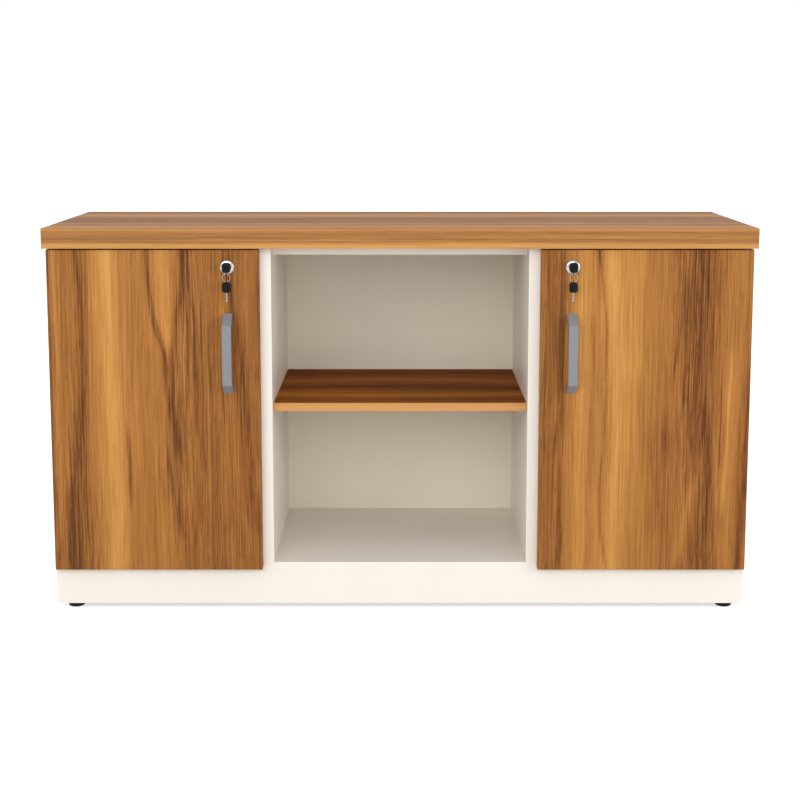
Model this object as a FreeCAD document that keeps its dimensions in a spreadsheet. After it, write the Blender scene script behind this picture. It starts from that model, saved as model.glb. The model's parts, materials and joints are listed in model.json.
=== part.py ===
"""Office credenza: a thick laminate top on a white board carcass, two hinged doors and an open bay.

Millimetres. +X is to the right, +Y to the back and +Z up. The origin is on the floor under the middle
of the whole piece, handles included. Everything on the left is modelled in place, and the right side
is its mirror image. Each door hangs on two concealed cup hinges. In plan a hinge is a four-bar
linkage, and its points are given in the hinge's own axes: u runs from the door's outer edge towards
the free edge, v runs from the door's face to the back.
"""

import FreeCAD, Part
import math
import os
import re
import Sketcher
from FreeCAD import Placement, Rotation, Vector

# ---------------------------------------------------------------- driving dimensions

DIMS = {
    # overall
    "width_overall": 1350,
    "depth_overall": 450,
    "height_overall": 750,
    # top
    "top_thickness": 38,
    "top_edge_band": 2,
    "side_overhang": 4,
    "back_overhang": 6,
    "door_setback": 7,
    # carcass
    "board": 18,
    "foot_height": 12.7,
    "plinth_height": 65,
    "bay_width": 491,
    "back_inset": 2,
    "rail_width": 80,
    "rail_setback": 45,
    "bearer": 18,
    # doors
    "door_thickness": 18,
    "door_gap": 1,
    "door_edge_band": 1,
    "inner_overlay": 14.7,
    "outer_reveal": 2.7,
    "door_foot_overlay": 9.5,
    "door_top_gap": 3,
    # shelves
    "bay_shelf_thickness": 16,
    "bay_shelf_rise": 312,
    "bay_shelf_setback": 20,
    "cupboard_shelf_thickness": 18,
    "cupboard_shelf_rise": 318,
    "cupboard_shelf_setback": 30,
    "shelf_clearance": 0.5,
    "pin_diameter": 5,
    "pin_in_board": 9,
    "pin_out_of_board": 7,
    "pin_inset": 37,
    # feet
    "foot_diameter": 32,
    "foot_from_side": 32,
    "foot_from_front": 29,
    "stud_diameter": 8,
    "stud_length": 28,
    "corner_block": 50,
    "corner_block_height": 40,
    # bow handle
    "handle_length": 154.5,
    "handle_width": 18,
    "handle_projection": 28,
    "handle_bar": 6,
    "handle_slope": 20,
    "handle_foot": 18,
    "handle_inner_slope": 7,
    "handle_screw_pitch": 136,
    "handle_edge_chamfer": 1.2,
    "grip_line": 60,
    "handle_below_lock": 165.5,
    # cam lock
    "lock_below_top": 35.7,
    "rosette_diameter": 27,
    "rosette_height": 2.6,
    "rosette_round": 1.4,
    "barrel_diameter": 19,
    "barrel_length": 23,
    "plug_diameter": 14,
    "plug_running_clearance": 0.06,
    "tang_width": 8,
    "nut_across": 22,
    "nut_thickness": 4,
    "cam_thickness": 2,
    "cam_width": 14,
    "cam_length": 31,
    "cam_hub": 19,
    "rivet_thickness": 1.6,
    "strike_thickness": 2,
    "strike_width": 40,
    "strike_depth": 24,
    "strike_drop": 18,
    "strike_to_cam": 1,
    # folding key
    "key_pivot_out": 13.6,
    "key_thickness": 2,
    "key_width": 6,
    "key_neck_width": 4.8,
    "key_neck_length": 10.6,
    "key_blade_length": 18,
    "key_tip": 2,
    "keyway_clearance": 0.2,
    "key_head_width": 16,
    "key_head_above": 8.6,
    "key_head_below": 9.0,
    "key_head_thickness": 7.4,
    "key_head_chamfer": 3,
    "key_lug_length": 3.6,
    "key_lug_thickness": 1.6,
    "key_lug_width": 5,
    "key_lug_hole": 2.6,
    "key_lug_hole_drop": 1.7,
    "key_slot_clearance": 0.3,
    "key_pin_diameter": 2,
    "key_pin_across_flats": 1.3,
    "ring_diameter": 14.4,
    "ring_wire": 0.7,
    "ring_play": 0.35,
    "spare_twist": 25,
    # cup hinge, in plan
    "hinge_inset": 90,
    "cup_centre_u": 20.7,
    "cup_diameter": 35,
    "cup_depth": 12.5,
    "cup_wall": 2.2,
    "cup_bottom": 0.8,
    "arm_pivot_u": 33.6,
    "arm_pivot_v": 17.5,
    "cup_pivot_u": 11.1,
    "cup_pivot_v": 15.2,
    "inner_arm_pivot_u": 32.0,
    "inner_arm_pivot_v": 8.6,
    "inner_cup_pivot_u": 11.2,
    "inner_cup_pivot_v": 10.4,
    "link_thickness": 1.6,
    "link_gap": 0.3,
    "link_end_radius": 2.4,
    "link_waist": 3,
    "inner_link_waist": 2.8,
    "cup_mouth_clearance": 0.4,
    "cup_mouth_depth": 4.4,
    "cup_notch_u": 4.8,
    "cup_notch_depth": 2.2,
    "link_pin_diameter": 2.4,
    "pin_across_flats": 1.5,
    "pin_running_clearance": 0.05,
    "nose_half_width": 2.5,
    "arm_half_width": 9,
    "arm_wall": 1.5,
    "arm_reach": 38,
    "arm_end_v": 92,
    "plate_line_v": 56,
    "plate_thickness": 2.5,
    "plate_wing_half_span": 24,
    "plate_wing_width": 17,
    "plate_rail_half_width": 7,
    "plate_rail_height": 16,
    "plate_screw_pitch": 32,
    "flange_thickness": 1.0,
    "flange_screw_pitch": 45,
    "flange_screw_setback": 9.5,
    "fitting_screw_diameter": 4,
    "fitting_screw_head": 7.5,
    "fitting_screw_head_height": 2.2,
    "fitting_screw_length": 13,
    # carcass screws
    "screw_diameter": 5,
    "screw_head": 9,
    "screw_head_height": 3,
    "screw_length": 45,
    "bottom_screw_inset": 60,
    "handle_screw_depth": 9,
}

# Lines that the pieces share, each worked out from the driving dimensions.
LINES = {
    "half_width": "width_overall / 2",
    "top_front": "(handle_projection - door_setback - depth_overall) / 2",
    "door_face": "top_front + door_setback",
    "door_back": "door_face + door_thickness",
    "carcass_front": "door_back + door_gap",
    "top_back": "top_front + depth_overall",
    "carcass_back": "top_back - back_overhang",
    "back_rear": "carcass_back - back_inset",
    "back_front": "back_rear - board",
    "carcass_top": "height_overall - top_thickness",
    "floor_under": "foot_height + plinth_height",
    "floor_top": "floor_under + board",
    "side_out": "half_width - side_overhang",
    "side_in": "side_out - board",
    "bay_half": "bay_width / 2",
    "divider": "bay_half + board",
    "cupboard_in": "divider + board",
    "door_out": "side_out - outer_reveal",
    "door_in": "cupboard_in - inner_overlay",
    "door_low": "floor_top - door_foot_overlay",
    "door_high": "carcass_top - door_top_gap",
    "lock_x": "door_in + grip_line",
    "lock_z": "carcass_top - lock_below_top",
    "handle_z": "lock_z - handle_below_lock",
    "hinge_low": "door_low + hinge_inset",
    "hinge_high": "door_high - hinge_inset",
    "hinge_panel_u": "board - outer_reveal",
    "bay_shelf_top": "floor_top + bay_shelf_rise",
    "cupboard_shelf_top": "floor_top + cupboard_shelf_rise",
    "foot_x": "side_out - foot_from_side",
    "foot_front_y": "carcass_front + foot_from_front",
    "foot_back_y": "back_rear - foot_from_front",
    "cam_face": "door_face + barrel_length + 1",
    "strike_face": "cam_face - strike_to_cam",
    "key_pivot_y": "door_face - key_pivot_out",
}

doc = FreeCAD.newDocument("OfficeCredenza")
sheet = doc.addObject("Spreadsheet::Sheet", "Dims")
for row, (alias, value) in enumerate(DIMS.items(), start=1):
    sheet.set(f"A{row}", alias)
    sheet.set(f"B{row}", str(value))
    sheet.setAlias(f"B{row}", alias)
doc.recompute()

NODES = []


def spell(text):
    """The expression with each shared line written out and each dimension named in the sheet."""

    def word(found):
        name = found.group()
        if name in LINES:
            return "(" + spell(LINES[name]) + ")"
        return "Dims." + name if name in DIMS else name

    return re.sub(r"[a-z][a-z_]*", word, str(text))


def size(text):
    """The expression's value in millimetres or degrees."""
    return float(sheet.evalExpression(spell(text)))


def bind(thing, **cells):
    """Ties properties of an object to expressions. A double underscore stands for a dot."""
    for name, text in cells.items():
        thing.setExpression(name.replace("__", "."), spell(text))
    return thing


def put(thing, x="0", y="0", z="0"):
    """Places an object by expressions."""
    return bind(thing, Placement__Base__x=x, Placement__Base__y=y, Placement__Base__z=z)


def node(thing, label):
    """Marks an object as a sub-part, with the label that names its file."""
    thing.Label = label
    NODES.append(thing)
    return thing


def block(name, x, y, z):
    """A box between pairs of expressions."""
    box = doc.addObject("Part::Box", name)
    bind(box, Length=f"({x[1]}) - ({x[0]})", Width=f"({y[1]}) - ({y[0]})", Height=f"({z[1]}) - ({z[0]})")
    return put(box, x[0], y[0], z[0])


AXIS_TURNS = {
    ("X", False): Rotation(Vector(0, 1, 0), 90), ("X", True): Rotation(Vector(0, 1, 0), -90),
    ("Y", False): Rotation(Vector(1, 0, 0), -90), ("Y", True): Rotation(Vector(1, 0, 0), 90),
    ("Z", False): Rotation(),
}


def rod(name, diameter, length, at, axis):
    """A cylinder that starts at a point and runs along +X, +Y or +Z."""
    cylinder = doc.addObject("Part::Cylinder", name)
    bind(cylinder, Radius=f"({diameter}) / 2", Height=length)
    cylinder.Placement = Placement(Vector(0, 0, 0), AXIS_TURNS[axis, False])
    return put(cylinder, *at)


def peg(name, across, length, at, axis, back=False, sides=6):
    """A rod with flats, which is so far across them. Half a flat's turn puts a flat at the top."""
    prism = doc.addObject("Part::Prism", name)
    prism.Polygon = sides
    half_flat = 180 / sides
    to_corner = 1 / math.cos(math.radians(half_flat))
    bind(prism, Circumradius=f"({across}) / 2 * {to_corner:.6f}", Height=length)
    prism.Placement = Placement(
        Vector(0, 0, 0), AXIS_TURNS[axis, back].multiply(Rotation(Vector(0, 0, 1), half_flat)))
    return put(prism, *at)


def together(name, things):
    """Separate solids kept as one object."""
    compound = doc.addObject("Part::Compound", name)
    compound.Links = things
    return compound


def fuse(name, things):
    union = doc.addObject("Part::MultiFuse", name)
    union.Shapes = things
    union.Refine = True
    return union


def cut(name, base, *tools):
    """The base less its tools."""
    result = doc.addObject("Part::Cut", name)
    result.Base = base
    result.Tool = tools[0] if len(tools) == 1 else together(name + "_tools", list(tools))
    return result


def mirror(thing, name):
    """The same thing on the other side of the middle plane."""
    image = doc.addObject("Part::Mirroring", name)
    image.Source = thing
    image.Normal = Vector(1, 0, 0)
    image.Base = Vector(0, 0, 0)
    return image


def pair(thing, stem):
    """Keeps a left-hand object as a sub-part, with its mirror image on the right."""
    node(thing, "left_" + stem)
    node(mirror(thing, "right_" + stem), "right_" + stem)
    return thing


def origin_plane(body, role):
    return next(f for f in body.Origin.OriginFeatures if f.Role == role)


def outline(body, name, role, loops):
    """A sketch of closed loops of straight sides, with each corner's place bound to expressions."""
    sketch = body.newObject("Sketcher::SketchObject", name)
    sketch.AttachmentSupport = [(origin_plane(body, role), "")]
    sketch.MapMode = "FlatFace"
    for loop in loops:
        corners = [Vector(size(a), size(b), 0) for a, b in loop]
        first = sketch.GeometryCount
        for start, end in zip(corners, corners[1:] + corners[:1]):
            sketch.addGeometry(Part.LineSegment(start, end), False)
        count = len(corners)
        for i in range(count):
            sketch.addConstraint(
                Sketcher.Constraint("Coincident", first + i, 2, first + (i + 1) % count, 1)
            )
        for i, (a, b) in enumerate(loop):
            for kind, text in (("DistanceX", a), ("DistanceY", b)):
                index = sketch.addConstraint(
                    Sketcher.Constraint(kind, -1, 1, first + i, 1, size(text))
                )
                sketch.setExpression(f"Constraints[{index}]", spell(text))
    return sketch


def new_body(name):
    return doc.addObject("PartDesign::Body", name)


def pad(body, sketch, length, both_ways=False):
    feature = body.newObject("PartDesign::Pad", sketch.Name + "Pad")
    feature.Profile = sketch
    feature.Midplane = both_ways
    bind(feature, Length=length)
    sketch.Visibility = False
    return feature


def lathe(name, profile):
    """A body turned about its own Y axis from a profile of (radius, height) corners."""
    body = new_body(name)
    sketch = outline(body, name + "Profile", "XY_Plane", [profile])
    turned = body.newObject("PartDesign::Revolution", name + "Turned")
    turned.Profile = sketch
    turned.ReferenceAxis = (sketch, ["V_Axis"])
    turned.Angle = 360
    return body


def rectangle(x, y):
    return [(x[0], y[0]), (x[1], y[0]), (x[1], y[1]), (x[0], y[1])]


def frame(name, role, outer, inner, thickness):
    """A band round a board: an outer rectangle less an inner one, padded."""
    body = new_body(name)
    sketch = outline(body, name + "Sketch", role, [rectangle(*outer), rectangle(*inner)])
    pad(body, sketch, thickness)
    return body


def feature(name, shape):
    """A piece whose shape is worked out with Part's own functions from the sheet's values."""
    thing = doc.addObject("Part::Feature", name)
    thing.Shape = shape
    return thing


# ---------------------------------------------------------------- screws

def screw(name, at, axis, length, back=False, sunk=False):
    """A screw with flats whose shank runs from a point along an axis, its head above or sunk in below it."""
    size_of = "screw" if sunk else "fitting_screw"
    height = f"{size_of}_head_height"
    stem = peg(name + "Stem", f"{size_of}_diameter", length, ("0", "0", "0"), "Z")
    head = peg(name + "Head", f"{size_of}_head", height, ("0", "0", "0" if sunk else f"-{height}"), "Z")
    whole = doc.addObject("Part::Fuse", name)
    whole.Base = head
    whole.Tool = stem
    whole.Placement = Placement(Vector(0, 0, 0), AXIS_TURNS[axis, back])
    return put(whole, *at)


rail_middle = "rail_setback + rail_width / 2"
TOP_SCREW_X = {
    "LeftOuter": "-(side_in - bottom_screw_inset)",
    "LeftInner": "-(cupboard_in + bottom_screw_inset)",
    "RightInner": "cupboard_in + bottom_screw_inset",
    "RightOuter": "side_in - bottom_screw_inset",
    "Bay": "0",
}
RAIL_Y = {"Front": f"carcass_front + {rail_middle}", "Back": "back_front - rail_width / 2"}

top_screws = together("TopScrews", [
    screw(f"TopScrew{side}{end}", (x, y, "carcass_top - board"), "Z", "screw_length", sunk=True)
    for side, x in TOP_SCREW_X.items() for end, y in RAIL_Y.items()
])
node(top_screws, "top_screws")

DIVIDER_MIDDLES = {"LeftCupboard": "-(divider + board / 2)", "LeftBay": "-(bay_half + board / 2)",
                   "RightBay": "bay_half + board / 2", "RightCupboard": "divider + board / 2"}
SCREW_Y = {"Front": "carcass_front + bottom_screw_inset", "Back": "back_front - bottom_screw_inset"}
divider_screws = together("DividerScrews", [
    screw(f"DividerScrew{side}{end}", (x, y, "floor_under"), "Z", "screw_length", sunk=True)
    for side, x in DIVIDER_MIDDLES.items() for end, y in SCREW_Y.items()
])
node(divider_screws, "divider_screws")

# ---------------------------------------------------------------- top

frame_in = "half_width - top_edge_band"
core = block("TopCore", (f"-({frame_in})", frame_in),
             ("top_front + top_edge_band", "top_back - top_edge_band"), ("carcass_top", "height_overall"))
edging = frame("TopEdging", "XY_Plane",
               (("-half_width", "half_width"), ("top_front", "top_back")),
               ((f"-({frame_in})", frame_in), ("top_front + top_edge_band", "top_back - top_edge_band")),
               "top_thickness")
put(edging, z="carcass_top")
node(edging, "top_edge_band")

# ---------------------------------------------------------------- carcass boards

PIN_Y = {
    "Front": "carcass_front + cupboard_shelf_setback + pin_inset",
    "Back": "back_front - pin_inset",
}
pin_length = "pin_in_board + pin_out_of_board"
PIN_ROWS = {
    "LeftOuter": ("-side_in - pin_in_board", "cupboard_shelf_top - cupboard_shelf_thickness"),
    "LeftInner": ("-cupboard_in - pin_out_of_board", "cupboard_shelf_top - cupboard_shelf_thickness"),
    "BayLeft": ("-bay_half - pin_in_board", "bay_shelf_top - bay_shelf_thickness"),
}
pins = {
    row: together("Pins" + row, [
        peg(f"Pin{row}{end}", "pin_diameter", pin_length, (x, y, f"{z} - pin_diameter / 2"), "X", sides=8)
        for end, y in PIN_Y.items()
    ])
    for row, (x, z) in PIN_ROWS.items()
}
all_pins = list(pins.values()) + [mirror(group, group.Name + "Right") for group in pins.values()]
node(together("ShelfPins", all_pins), "shelf_pins")

depth_to_back = ("carcass_front", "back_front")
height_inside = ("floor_top", "carcass_top")

outer_side = block("LeftSideBoard", ("-side_out", "-side_in"), ("carcass_front", "carcass_back"),
                   ("foot_height", "carcass_top"))
cupboard_side = block("LeftCupboardBoard", ("-cupboard_in", "-divider"), depth_to_back, height_inside)
bay_side = block("LeftBayBoard", ("-divider", "-bay_half"), depth_to_back, height_inside)

bottom = block("BottomBoard", ("-side_in", "side_in"), depth_to_back, ("floor_under", "floor_top"))
node(cut("Bottom", bottom, divider_screws), "bottom_panel")
node(block("BackBoard", ("-side_in", "side_in"), ("back_front", "back_rear"),
           ("floor_under", "carcass_top")), "back_panel")
plinth = ("foot_height", "floor_under")
node(block("FrontSkirting", ("-side_in", "side_in"), ("carcass_front", "carcass_front + board"), plinth),
     "front_skirting")
node(block("BackSkirting", ("-side_in", "side_in"), ("back_front", "back_rear"), plinth), "back_skirting")
bearer = block("LeftBearer", ("-divider - bearer / 2", "-divider + bearer / 2"),
               ("carcass_front + board", "back_front"), plinth)
bearer_screws = cut("LeftBearerCut", bearer, divider_screws)
node(together("Bearers", [bearer_screws, mirror(bearer_screws, "RightBearer")]), "plinth_bearers")

# ---------------------------------------------------------------- rails under the top

rail_z = ("carcass_top - board", "carcass_top")
front_rail_y = ("carcass_front + rail_setback", "carcass_front + rail_setback + rail_width")
back_rail_y = ("back_front - rail_width", "back_front")
rails = []
for name, x in {"Left": ("-side_in", "-cupboard_in"), "Bay": ("-bay_half", "bay_half"),
                "Right": ("cupboard_in", "side_in")}.items():
    for end, y in {"Front": front_rail_y, "Back": back_rail_y}.items():
        rails.append(cut(f"Rail{name}{end}", block(f"RailBoard{name}{end}", x, y, rail_z), top_screws))
node(together("Rails", rails), "top_rails")

# ---------------------------------------------------------------- shelves

shelf_back = "back_front - shelf_clearance"
centre_shelf = block(
    "CentreShelf", ("-bay_half + shelf_clearance", "bay_half - shelf_clearance"),
    ("carcass_front + bay_shelf_setback", shelf_back),
    ("bay_shelf_top - bay_shelf_thickness", "bay_shelf_top"))
node(centre_shelf, "centre_shelf")
pair(block("LeftShelf", ("-side_in + shelf_clearance", "-cupboard_in - shelf_clearance"),
           ("carcass_front + cupboard_shelf_setback", shelf_back),
           ("cupboard_shelf_top - cupboard_shelf_thickness", "cupboard_shelf_top")), "shelf")

# ---------------------------------------------------------------- feet

def foot(name, y):
    """A moulded foot with a fluted rim, under its threaded stud."""
    return peg(name, "foot_diameter", "foot_height", ("-foot_x", y, "0"), "Z", sides=16)


def stud(name, y):
    return peg(name, "stud_diameter", "stud_length", ("-foot_x", y, "foot_height"), "Z", sides=8)


FOOT_Y = {"Front": "foot_front_y", "Back": "foot_back_y"}
feet = [foot(f"Foot{end}", y) for end, y in FOOT_Y.items()]
studs = [stud(f"Stud{end}", y) for end, y in FOOT_Y.items()]
BLOCK_Y = {"Front": ("carcass_front + board", "carcass_front + board + corner_block"),
           "Back": ("back_front - corner_block", "back_front")}
blocks = [
    cut(f"CornerBlock{end}", block(f"CornerBlockBox{end}", ("-side_in", "-side_in + corner_block"), y,
                                   ("foot_height", "foot_height + corner_block_height")), thread)
    for (end, y), thread in zip(BLOCK_Y.items(), studs)
]


def four_corners(things, label):
    left = together("Left" + label, things)
    node(together("All" + label, [left, mirror(left, "Right" + label)]), label)


four_corners(feet, "foot_pads")
four_corners(studs, "foot_studs")
four_corners(blocks, "corner_blocks")

# ---------------------------------------------------------------- door boards

band = "door_edge_band"
door_board = block("LeftDoorBoard", (f"-door_out + {band}", f"-door_in - {band}"),
                   ("door_face", "door_back"), (f"door_low + {band}", f"door_high - {band}"))
door_band = frame("LeftDoorBand", "XZ_Plane",
                  (("-door_out", "-door_in"), ("door_low", "door_high")),
                  ((f"-door_out + {band}", f"-door_in - {band}"), (f"door_low + {band}", f"door_high - {band}")),
                  "door_thickness")
put(door_band, y="door_back")
pair(door_band, "door_edge_band")

# ---------------------------------------------------------------- bow handle

half_length = "handle_length / 2"
reach = "handle_projection"
handle_body = new_body("LeftHandleBody")
inner_foot = "handle_length / 2 - handle_foot"
handle_profile = [
    (f"-({half_length})", "0"), (f"-({half_length}) + handle_slope", reach),
    (f"{half_length} - handle_slope", reach), (half_length, "0"),
    (inner_foot, "0"), (f"{inner_foot} - handle_inner_slope", f"{reach} - handle_bar"),
    (f"-({inner_foot}) + handle_inner_slope", f"{reach} - handle_bar"), (f"-({inner_foot})", "0"),
]
handle_sketch = outline(handle_body, "HandleProfile", "XY_Plane", [handle_profile])
handle_pad = pad(handle_body, handle_sketch, "handle_width", both_ways=True)
doc.recompute()


def long_edges(shape):
    """The edges that run along the outside of a bent strap, one chain on each flank."""
    names = []
    for i, edge in enumerate(shape.Edges, start=1):
        ends = [v.Point for v in edge.Vertexes]
        same_flank = abs(ends[0].z - ends[1].z) < 0.01
        outside = all(p.y > size(reach) - 0.01 or abs(p.x) > size(half_length) - 0.01 for p in ends)
        if same_flank and outside:
            names.append(f"Edge{i}")
    return names


easing = handle_body.newObject("PartDesign::Chamfer", "HandleEasing")
easing.Base = (handle_pad, long_edges(handle_pad.Shape))
bind(easing, Size="handle_edge_chamfer")
handle_body.Placement = Placement(
    Vector(0, 0, 0), Rotation(Vector(0, 0, 1), Vector(0, -1, 0), Vector(1, 0, 0), "ZXY"))
put(handle_body, "-lock_x", "door_face", "handle_z")

handle_screws = [
    screw(f"HandleScrew{end}", ("-lock_x", "door_back", f"handle_z {sign} handle_screw_pitch / 2"),
          "Y", "door_thickness + handle_screw_depth", back=True)
    for end, sign in {"Low": "-", "High": "+"}.items()
]
pair(cut("LeftHandle", handle_body, *handle_screws), "handle")

# ---------------------------------------------------------------- cam lock

bore = "plug_diameter / 2 + plug_running_clearance"
barrel = lathe("LeftBarrel", [
    (bore, "-rosette_height"), ("rosette_diameter / 2 - rosette_round", "-rosette_height"),
    ("rosette_diameter / 2", "-rosette_height + rosette_round"), ("rosette_diameter / 2", "0"),
    ("barrel_diameter / 2", "0"), ("barrel_diameter / 2", "barrel_length"), (bore, "barrel_length"),
])
LOCK = ("-lock_x", "door_face", "lock_z")
put(barrel, *LOCK)
pair(barrel, "lock_barrel")

nut_blank = peg("LeftNutBlank", "nut_across", "nut_thickness", ("-lock_x", "door_back", "lock_z"), "Y")
barrel_hole = rod("LeftBarrelHole", "barrel_diameter", "door_thickness + nut_thickness", LOCK, "Y")
pair(cut("LeftNut", nut_blank, barrel_hole), "lock_nut")

cam_y = ("cam_face", "cam_face + cam_thickness")
half_tang = "tang_width / 2"
plug_turned = rod("LeftPlugTurned", "plug_diameter", "rosette_height + barrel_length + 1",
                  ("-lock_x", "door_face - rosette_height", "lock_z"), "Y")
tang = block("LeftTang", (f"-lock_x - {half_tang}", f"-lock_x + {half_tang}"), cam_y,
             (f"lock_z - {half_tang}", f"lock_z + {half_tang}"))
rivet = peg("LeftRivet", "tang_width * sqrt(2)", "rivet_thickness",
            ("-lock_x", "cam_face + cam_thickness", "lock_z"), "Y", sides=8)
half_key = "key_thickness / 2 + keyway_clearance"
half_way = "key_width / 2 + keyway_clearance"
keyway = block("LeftKeyway", (f"-lock_x - ({half_key})", f"-lock_x + {half_key}"),
               ("door_face - rosette_height",
                "door_face - key_pivot_out + key_neck_length + key_blade_length + keyway_clearance"),
               (f"lock_z - ({half_way})", f"lock_z + {half_way}"))
plug = cut("LeftPlug", fuse("LeftPlugSolid", [plug_turned, tang, rivet]), keyway)
pair(plug, "lock_plug")

cam_hub = peg("LeftCamHub", "cam_hub", "cam_thickness", ("-lock_x", "cam_face", "lock_z"), "Y", sides=8)
cam_arm = block("LeftCamArm", ("-lock_x - cam_length", "-lock_x"), cam_y,
                ("lock_z - cam_width / 2", "lock_z + cam_width / 2"))
pair(cut("LeftCam", fuse("LeftCamPlate", [cam_hub, cam_arm]), tang), "lock_cam")

strike_x = ("-lock_x - strike_width / 2", "-lock_x + strike_width / 2")
strike_leg = block("LeftStrikeLeg", strike_x, ("strike_face - strike_thickness", "strike_face"),
                   ("carcass_top - strike_drop", "carcass_top"))
strike_foot = block("LeftStrikeFoot", strike_x, ("strike_face - strike_thickness", "strike_face + strike_depth"),
                    ("carcass_top - strike_thickness", "carcass_top"))
strike_screws = [
    screw(f"StrikeScrew{side}", (f"-lock_x {sign} strike_width / 4", "strike_face + strike_depth * 0.62",
                                        "carcass_top - strike_thickness"), "Z", "fitting_screw_length")
    for side, sign in {"Outer": "-", "Inner": "+"}.items()
]
strike = cut("LeftStrike", fuse("LeftStrikeAngle", [strike_leg, strike_foot]), *strike_screws)
node(together("Strikes", [strike, mirror(strike, "RightStrike")]), "lock_strikes")

# ---------------------------------------------------------------- folding keys

# A key's own axes have the pivot at the origin. The blade points to +Y. The head is folded down flat
# across it, with its lug at the bottom and its slot open at the back and at the top.
reach_out = "key_neck_length"
tip = "key_neck_length + key_blade_length"
blade_body = new_body("KeyBladeBody")
blade_sketch = outline(blade_body, "KeyBladeProfile", "YZ_Plane", [[
    ("0", "-key_neck_width / 2"), (reach_out, "-key_neck_width / 2"), (reach_out, "-key_width / 2"),
    (f"{tip} - key_tip", "-key_width / 2"), (tip, "-key_width / 2 + key_tip"),
    (tip, "key_width / 2 - key_tip"), (f"{tip} - key_tip", "key_width / 2"), (reach_out, "key_width / 2"),
    (reach_out, "key_neck_width / 2"), ("0", "key_neck_width / 2"),
]])
pad(blade_body, blade_sketch, "key_thickness", both_ways=True)
half_blade = "key_thickness / 2"
blade_eye = peg("KeyEye", "key_neck_width", "key_thickness", (f"-{half_blade}", "0", "0"), "X", sides=8)
eye_bore = peg("KeyEyeBore", "key_pin_diameter + 2 * pin_running_clearance", "key_thickness",
               (f"-{half_blade}", "0", "0"), "X", sides=8)
key_blade = cut("KeyBlade", fuse("KeyBladeSolid", [blade_body, blade_eye]), eye_bore)

half_head = "key_head_width / 2"
head_body = new_body("KeyHeadBody")
head_sketch = outline(head_body, "KeyHeadProfile", "XZ_Plane", [[
    (f"-{half_head} + key_head_chamfer", "-key_head_below"), (f"{half_head} - key_head_chamfer", "-key_head_below"),
    (half_head, "-key_head_below + key_head_chamfer"), (half_head, "key_head_above - key_head_chamfer"),
    (f"{half_head} - key_head_chamfer", "key_head_above"), (f"-{half_head} + key_head_chamfer", "key_head_above"),
    (f"-{half_head}", "key_head_above - key_head_chamfer"), (f"-{half_head}", "-key_head_below + key_head_chamfer"),
]])
pad(head_body, head_sketch, "key_head_thickness", both_ways=True)
half_slot = "key_thickness / 2 + key_slot_clearance"
slot_low = "-key_neck_width / 2 - key_slot_clearance"
slot = block("KeySlot", (f"-({half_slot})", half_slot), (slot_low, "key_head_thickness"),
             (slot_low, "key_head_above + 1"))
head_pin = doc.addObject("Part::Common", "KeyHeadPin")
head_pin.Base = rod("KeyHeadRod", "key_pin_diameter", "key_head_width * 0.6", ("-key_head_width * 0.3", "0", "0"),
                    "X")
half_flats = "key_pin_across_flats / 2"
head_pin.Tool = block("KeyHeadPinFlats", ("-key_head_width * 0.3", "key_head_width * 0.3"),
                      ("-key_pin_diameter", "key_pin_diameter"), (f"-{half_flats}", half_flats))
lug_z = "-key_head_below - key_lug_hole_drop"
lug_plate = block("KeyLugPlate", ("-key_lug_thickness / 2", "key_lug_thickness / 2"),
                  ("-key_lug_width / 2", "key_lug_width / 2"),
                  ("-key_head_below - key_lug_length", "-key_head_below + 1"))
lug_hole = rod("KeyLugHole", "key_lug_hole", "key_lug_thickness", ("-key_lug_thickness / 2", "0", lug_z), "X")
key_head = fuse("KeyHead", [cut("KeyHeadSlotted", head_body, slot), head_pin, cut("KeyLug", lug_plate, lug_hole)])


def placed(thing, name, at, rotation=None):
    """A copy of a key piece or hinge piece at its place, turned by a rotation."""
    link = doc.addObject("App::Link", name)
    link.LinkedObject = thing
    link.LinkTransform = False
    if rotation:
        link.Placement = Placement(Vector(0, 0, 0), rotation)
    return bind(link, Placement__Base__x=at[0], Placement__Base__y=at[1], Placement__Base__z=at[2])


PIVOT = ("-lock_x", "key_pivot_y", "lock_z")
pair(together("LeftKeyBlade", [placed(key_blade, "LeftKeyBladeAt", PIVOT)]), "key_blade")
pair(together("LeftKeyHead", [placed(key_head, "LeftKeyHeadAt", PIVOT)]), "key_head")

ring_radius = "ring_diameter / 2"
hang = "key_lug_hole / 2 - ring_wire / 2 - ring_play"
ring_z = f"lock_z + {lug_z} - ({hang}) - {ring_radius}"
half_wire = "ring_wire / 2"
ring = lathe("LeftRing", rectangle(
    (f"{ring_radius} - {half_wire}", f"{ring_radius} + {half_wire}"), (f"-{half_wire}", half_wire)))
put(ring, "-lock_x", "key_pivot_y", ring_z)
pair(ring, "key_ring")

# The spare key hangs from the ring by its lug, upside down, its slot to the front and a little turned.
spare_pivot_z = f"{ring_z} - {ring_radius} - ({hang}) + {lug_z}"
upside_down = Rotation(Vector(0, 0, 1), size("spare_twist")).multiply(Rotation(Vector(1, 0, 0), 180))
SPARE = ("-lock_x", "key_pivot_y", spare_pivot_z)
opened = upside_down.multiply(Rotation(Vector(1, 0, 0), 90))
pair(together("LeftSpareHead", [placed(key_head, "LeftSpareHeadAt", SPARE, upside_down)]), "spare_head")
pair(together("LeftSpareBlade", [placed(key_blade, "LeftSpareBladeAt", SPARE, opened)]), "spare_blade")

# ---------------------------------------------------------------- cup hinges

EYE = "link_pin_diameter + 2 * pin_running_clearance"
inner_level = "nose_half_width + link_gap"
outer_level = f"{inner_level} + link_thickness + link_gap"
link_width = f"{outer_level} + link_thickness"


def point(stem):
    return Vector(size(stem + "_u"), size(stem + "_v"), 0)


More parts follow.
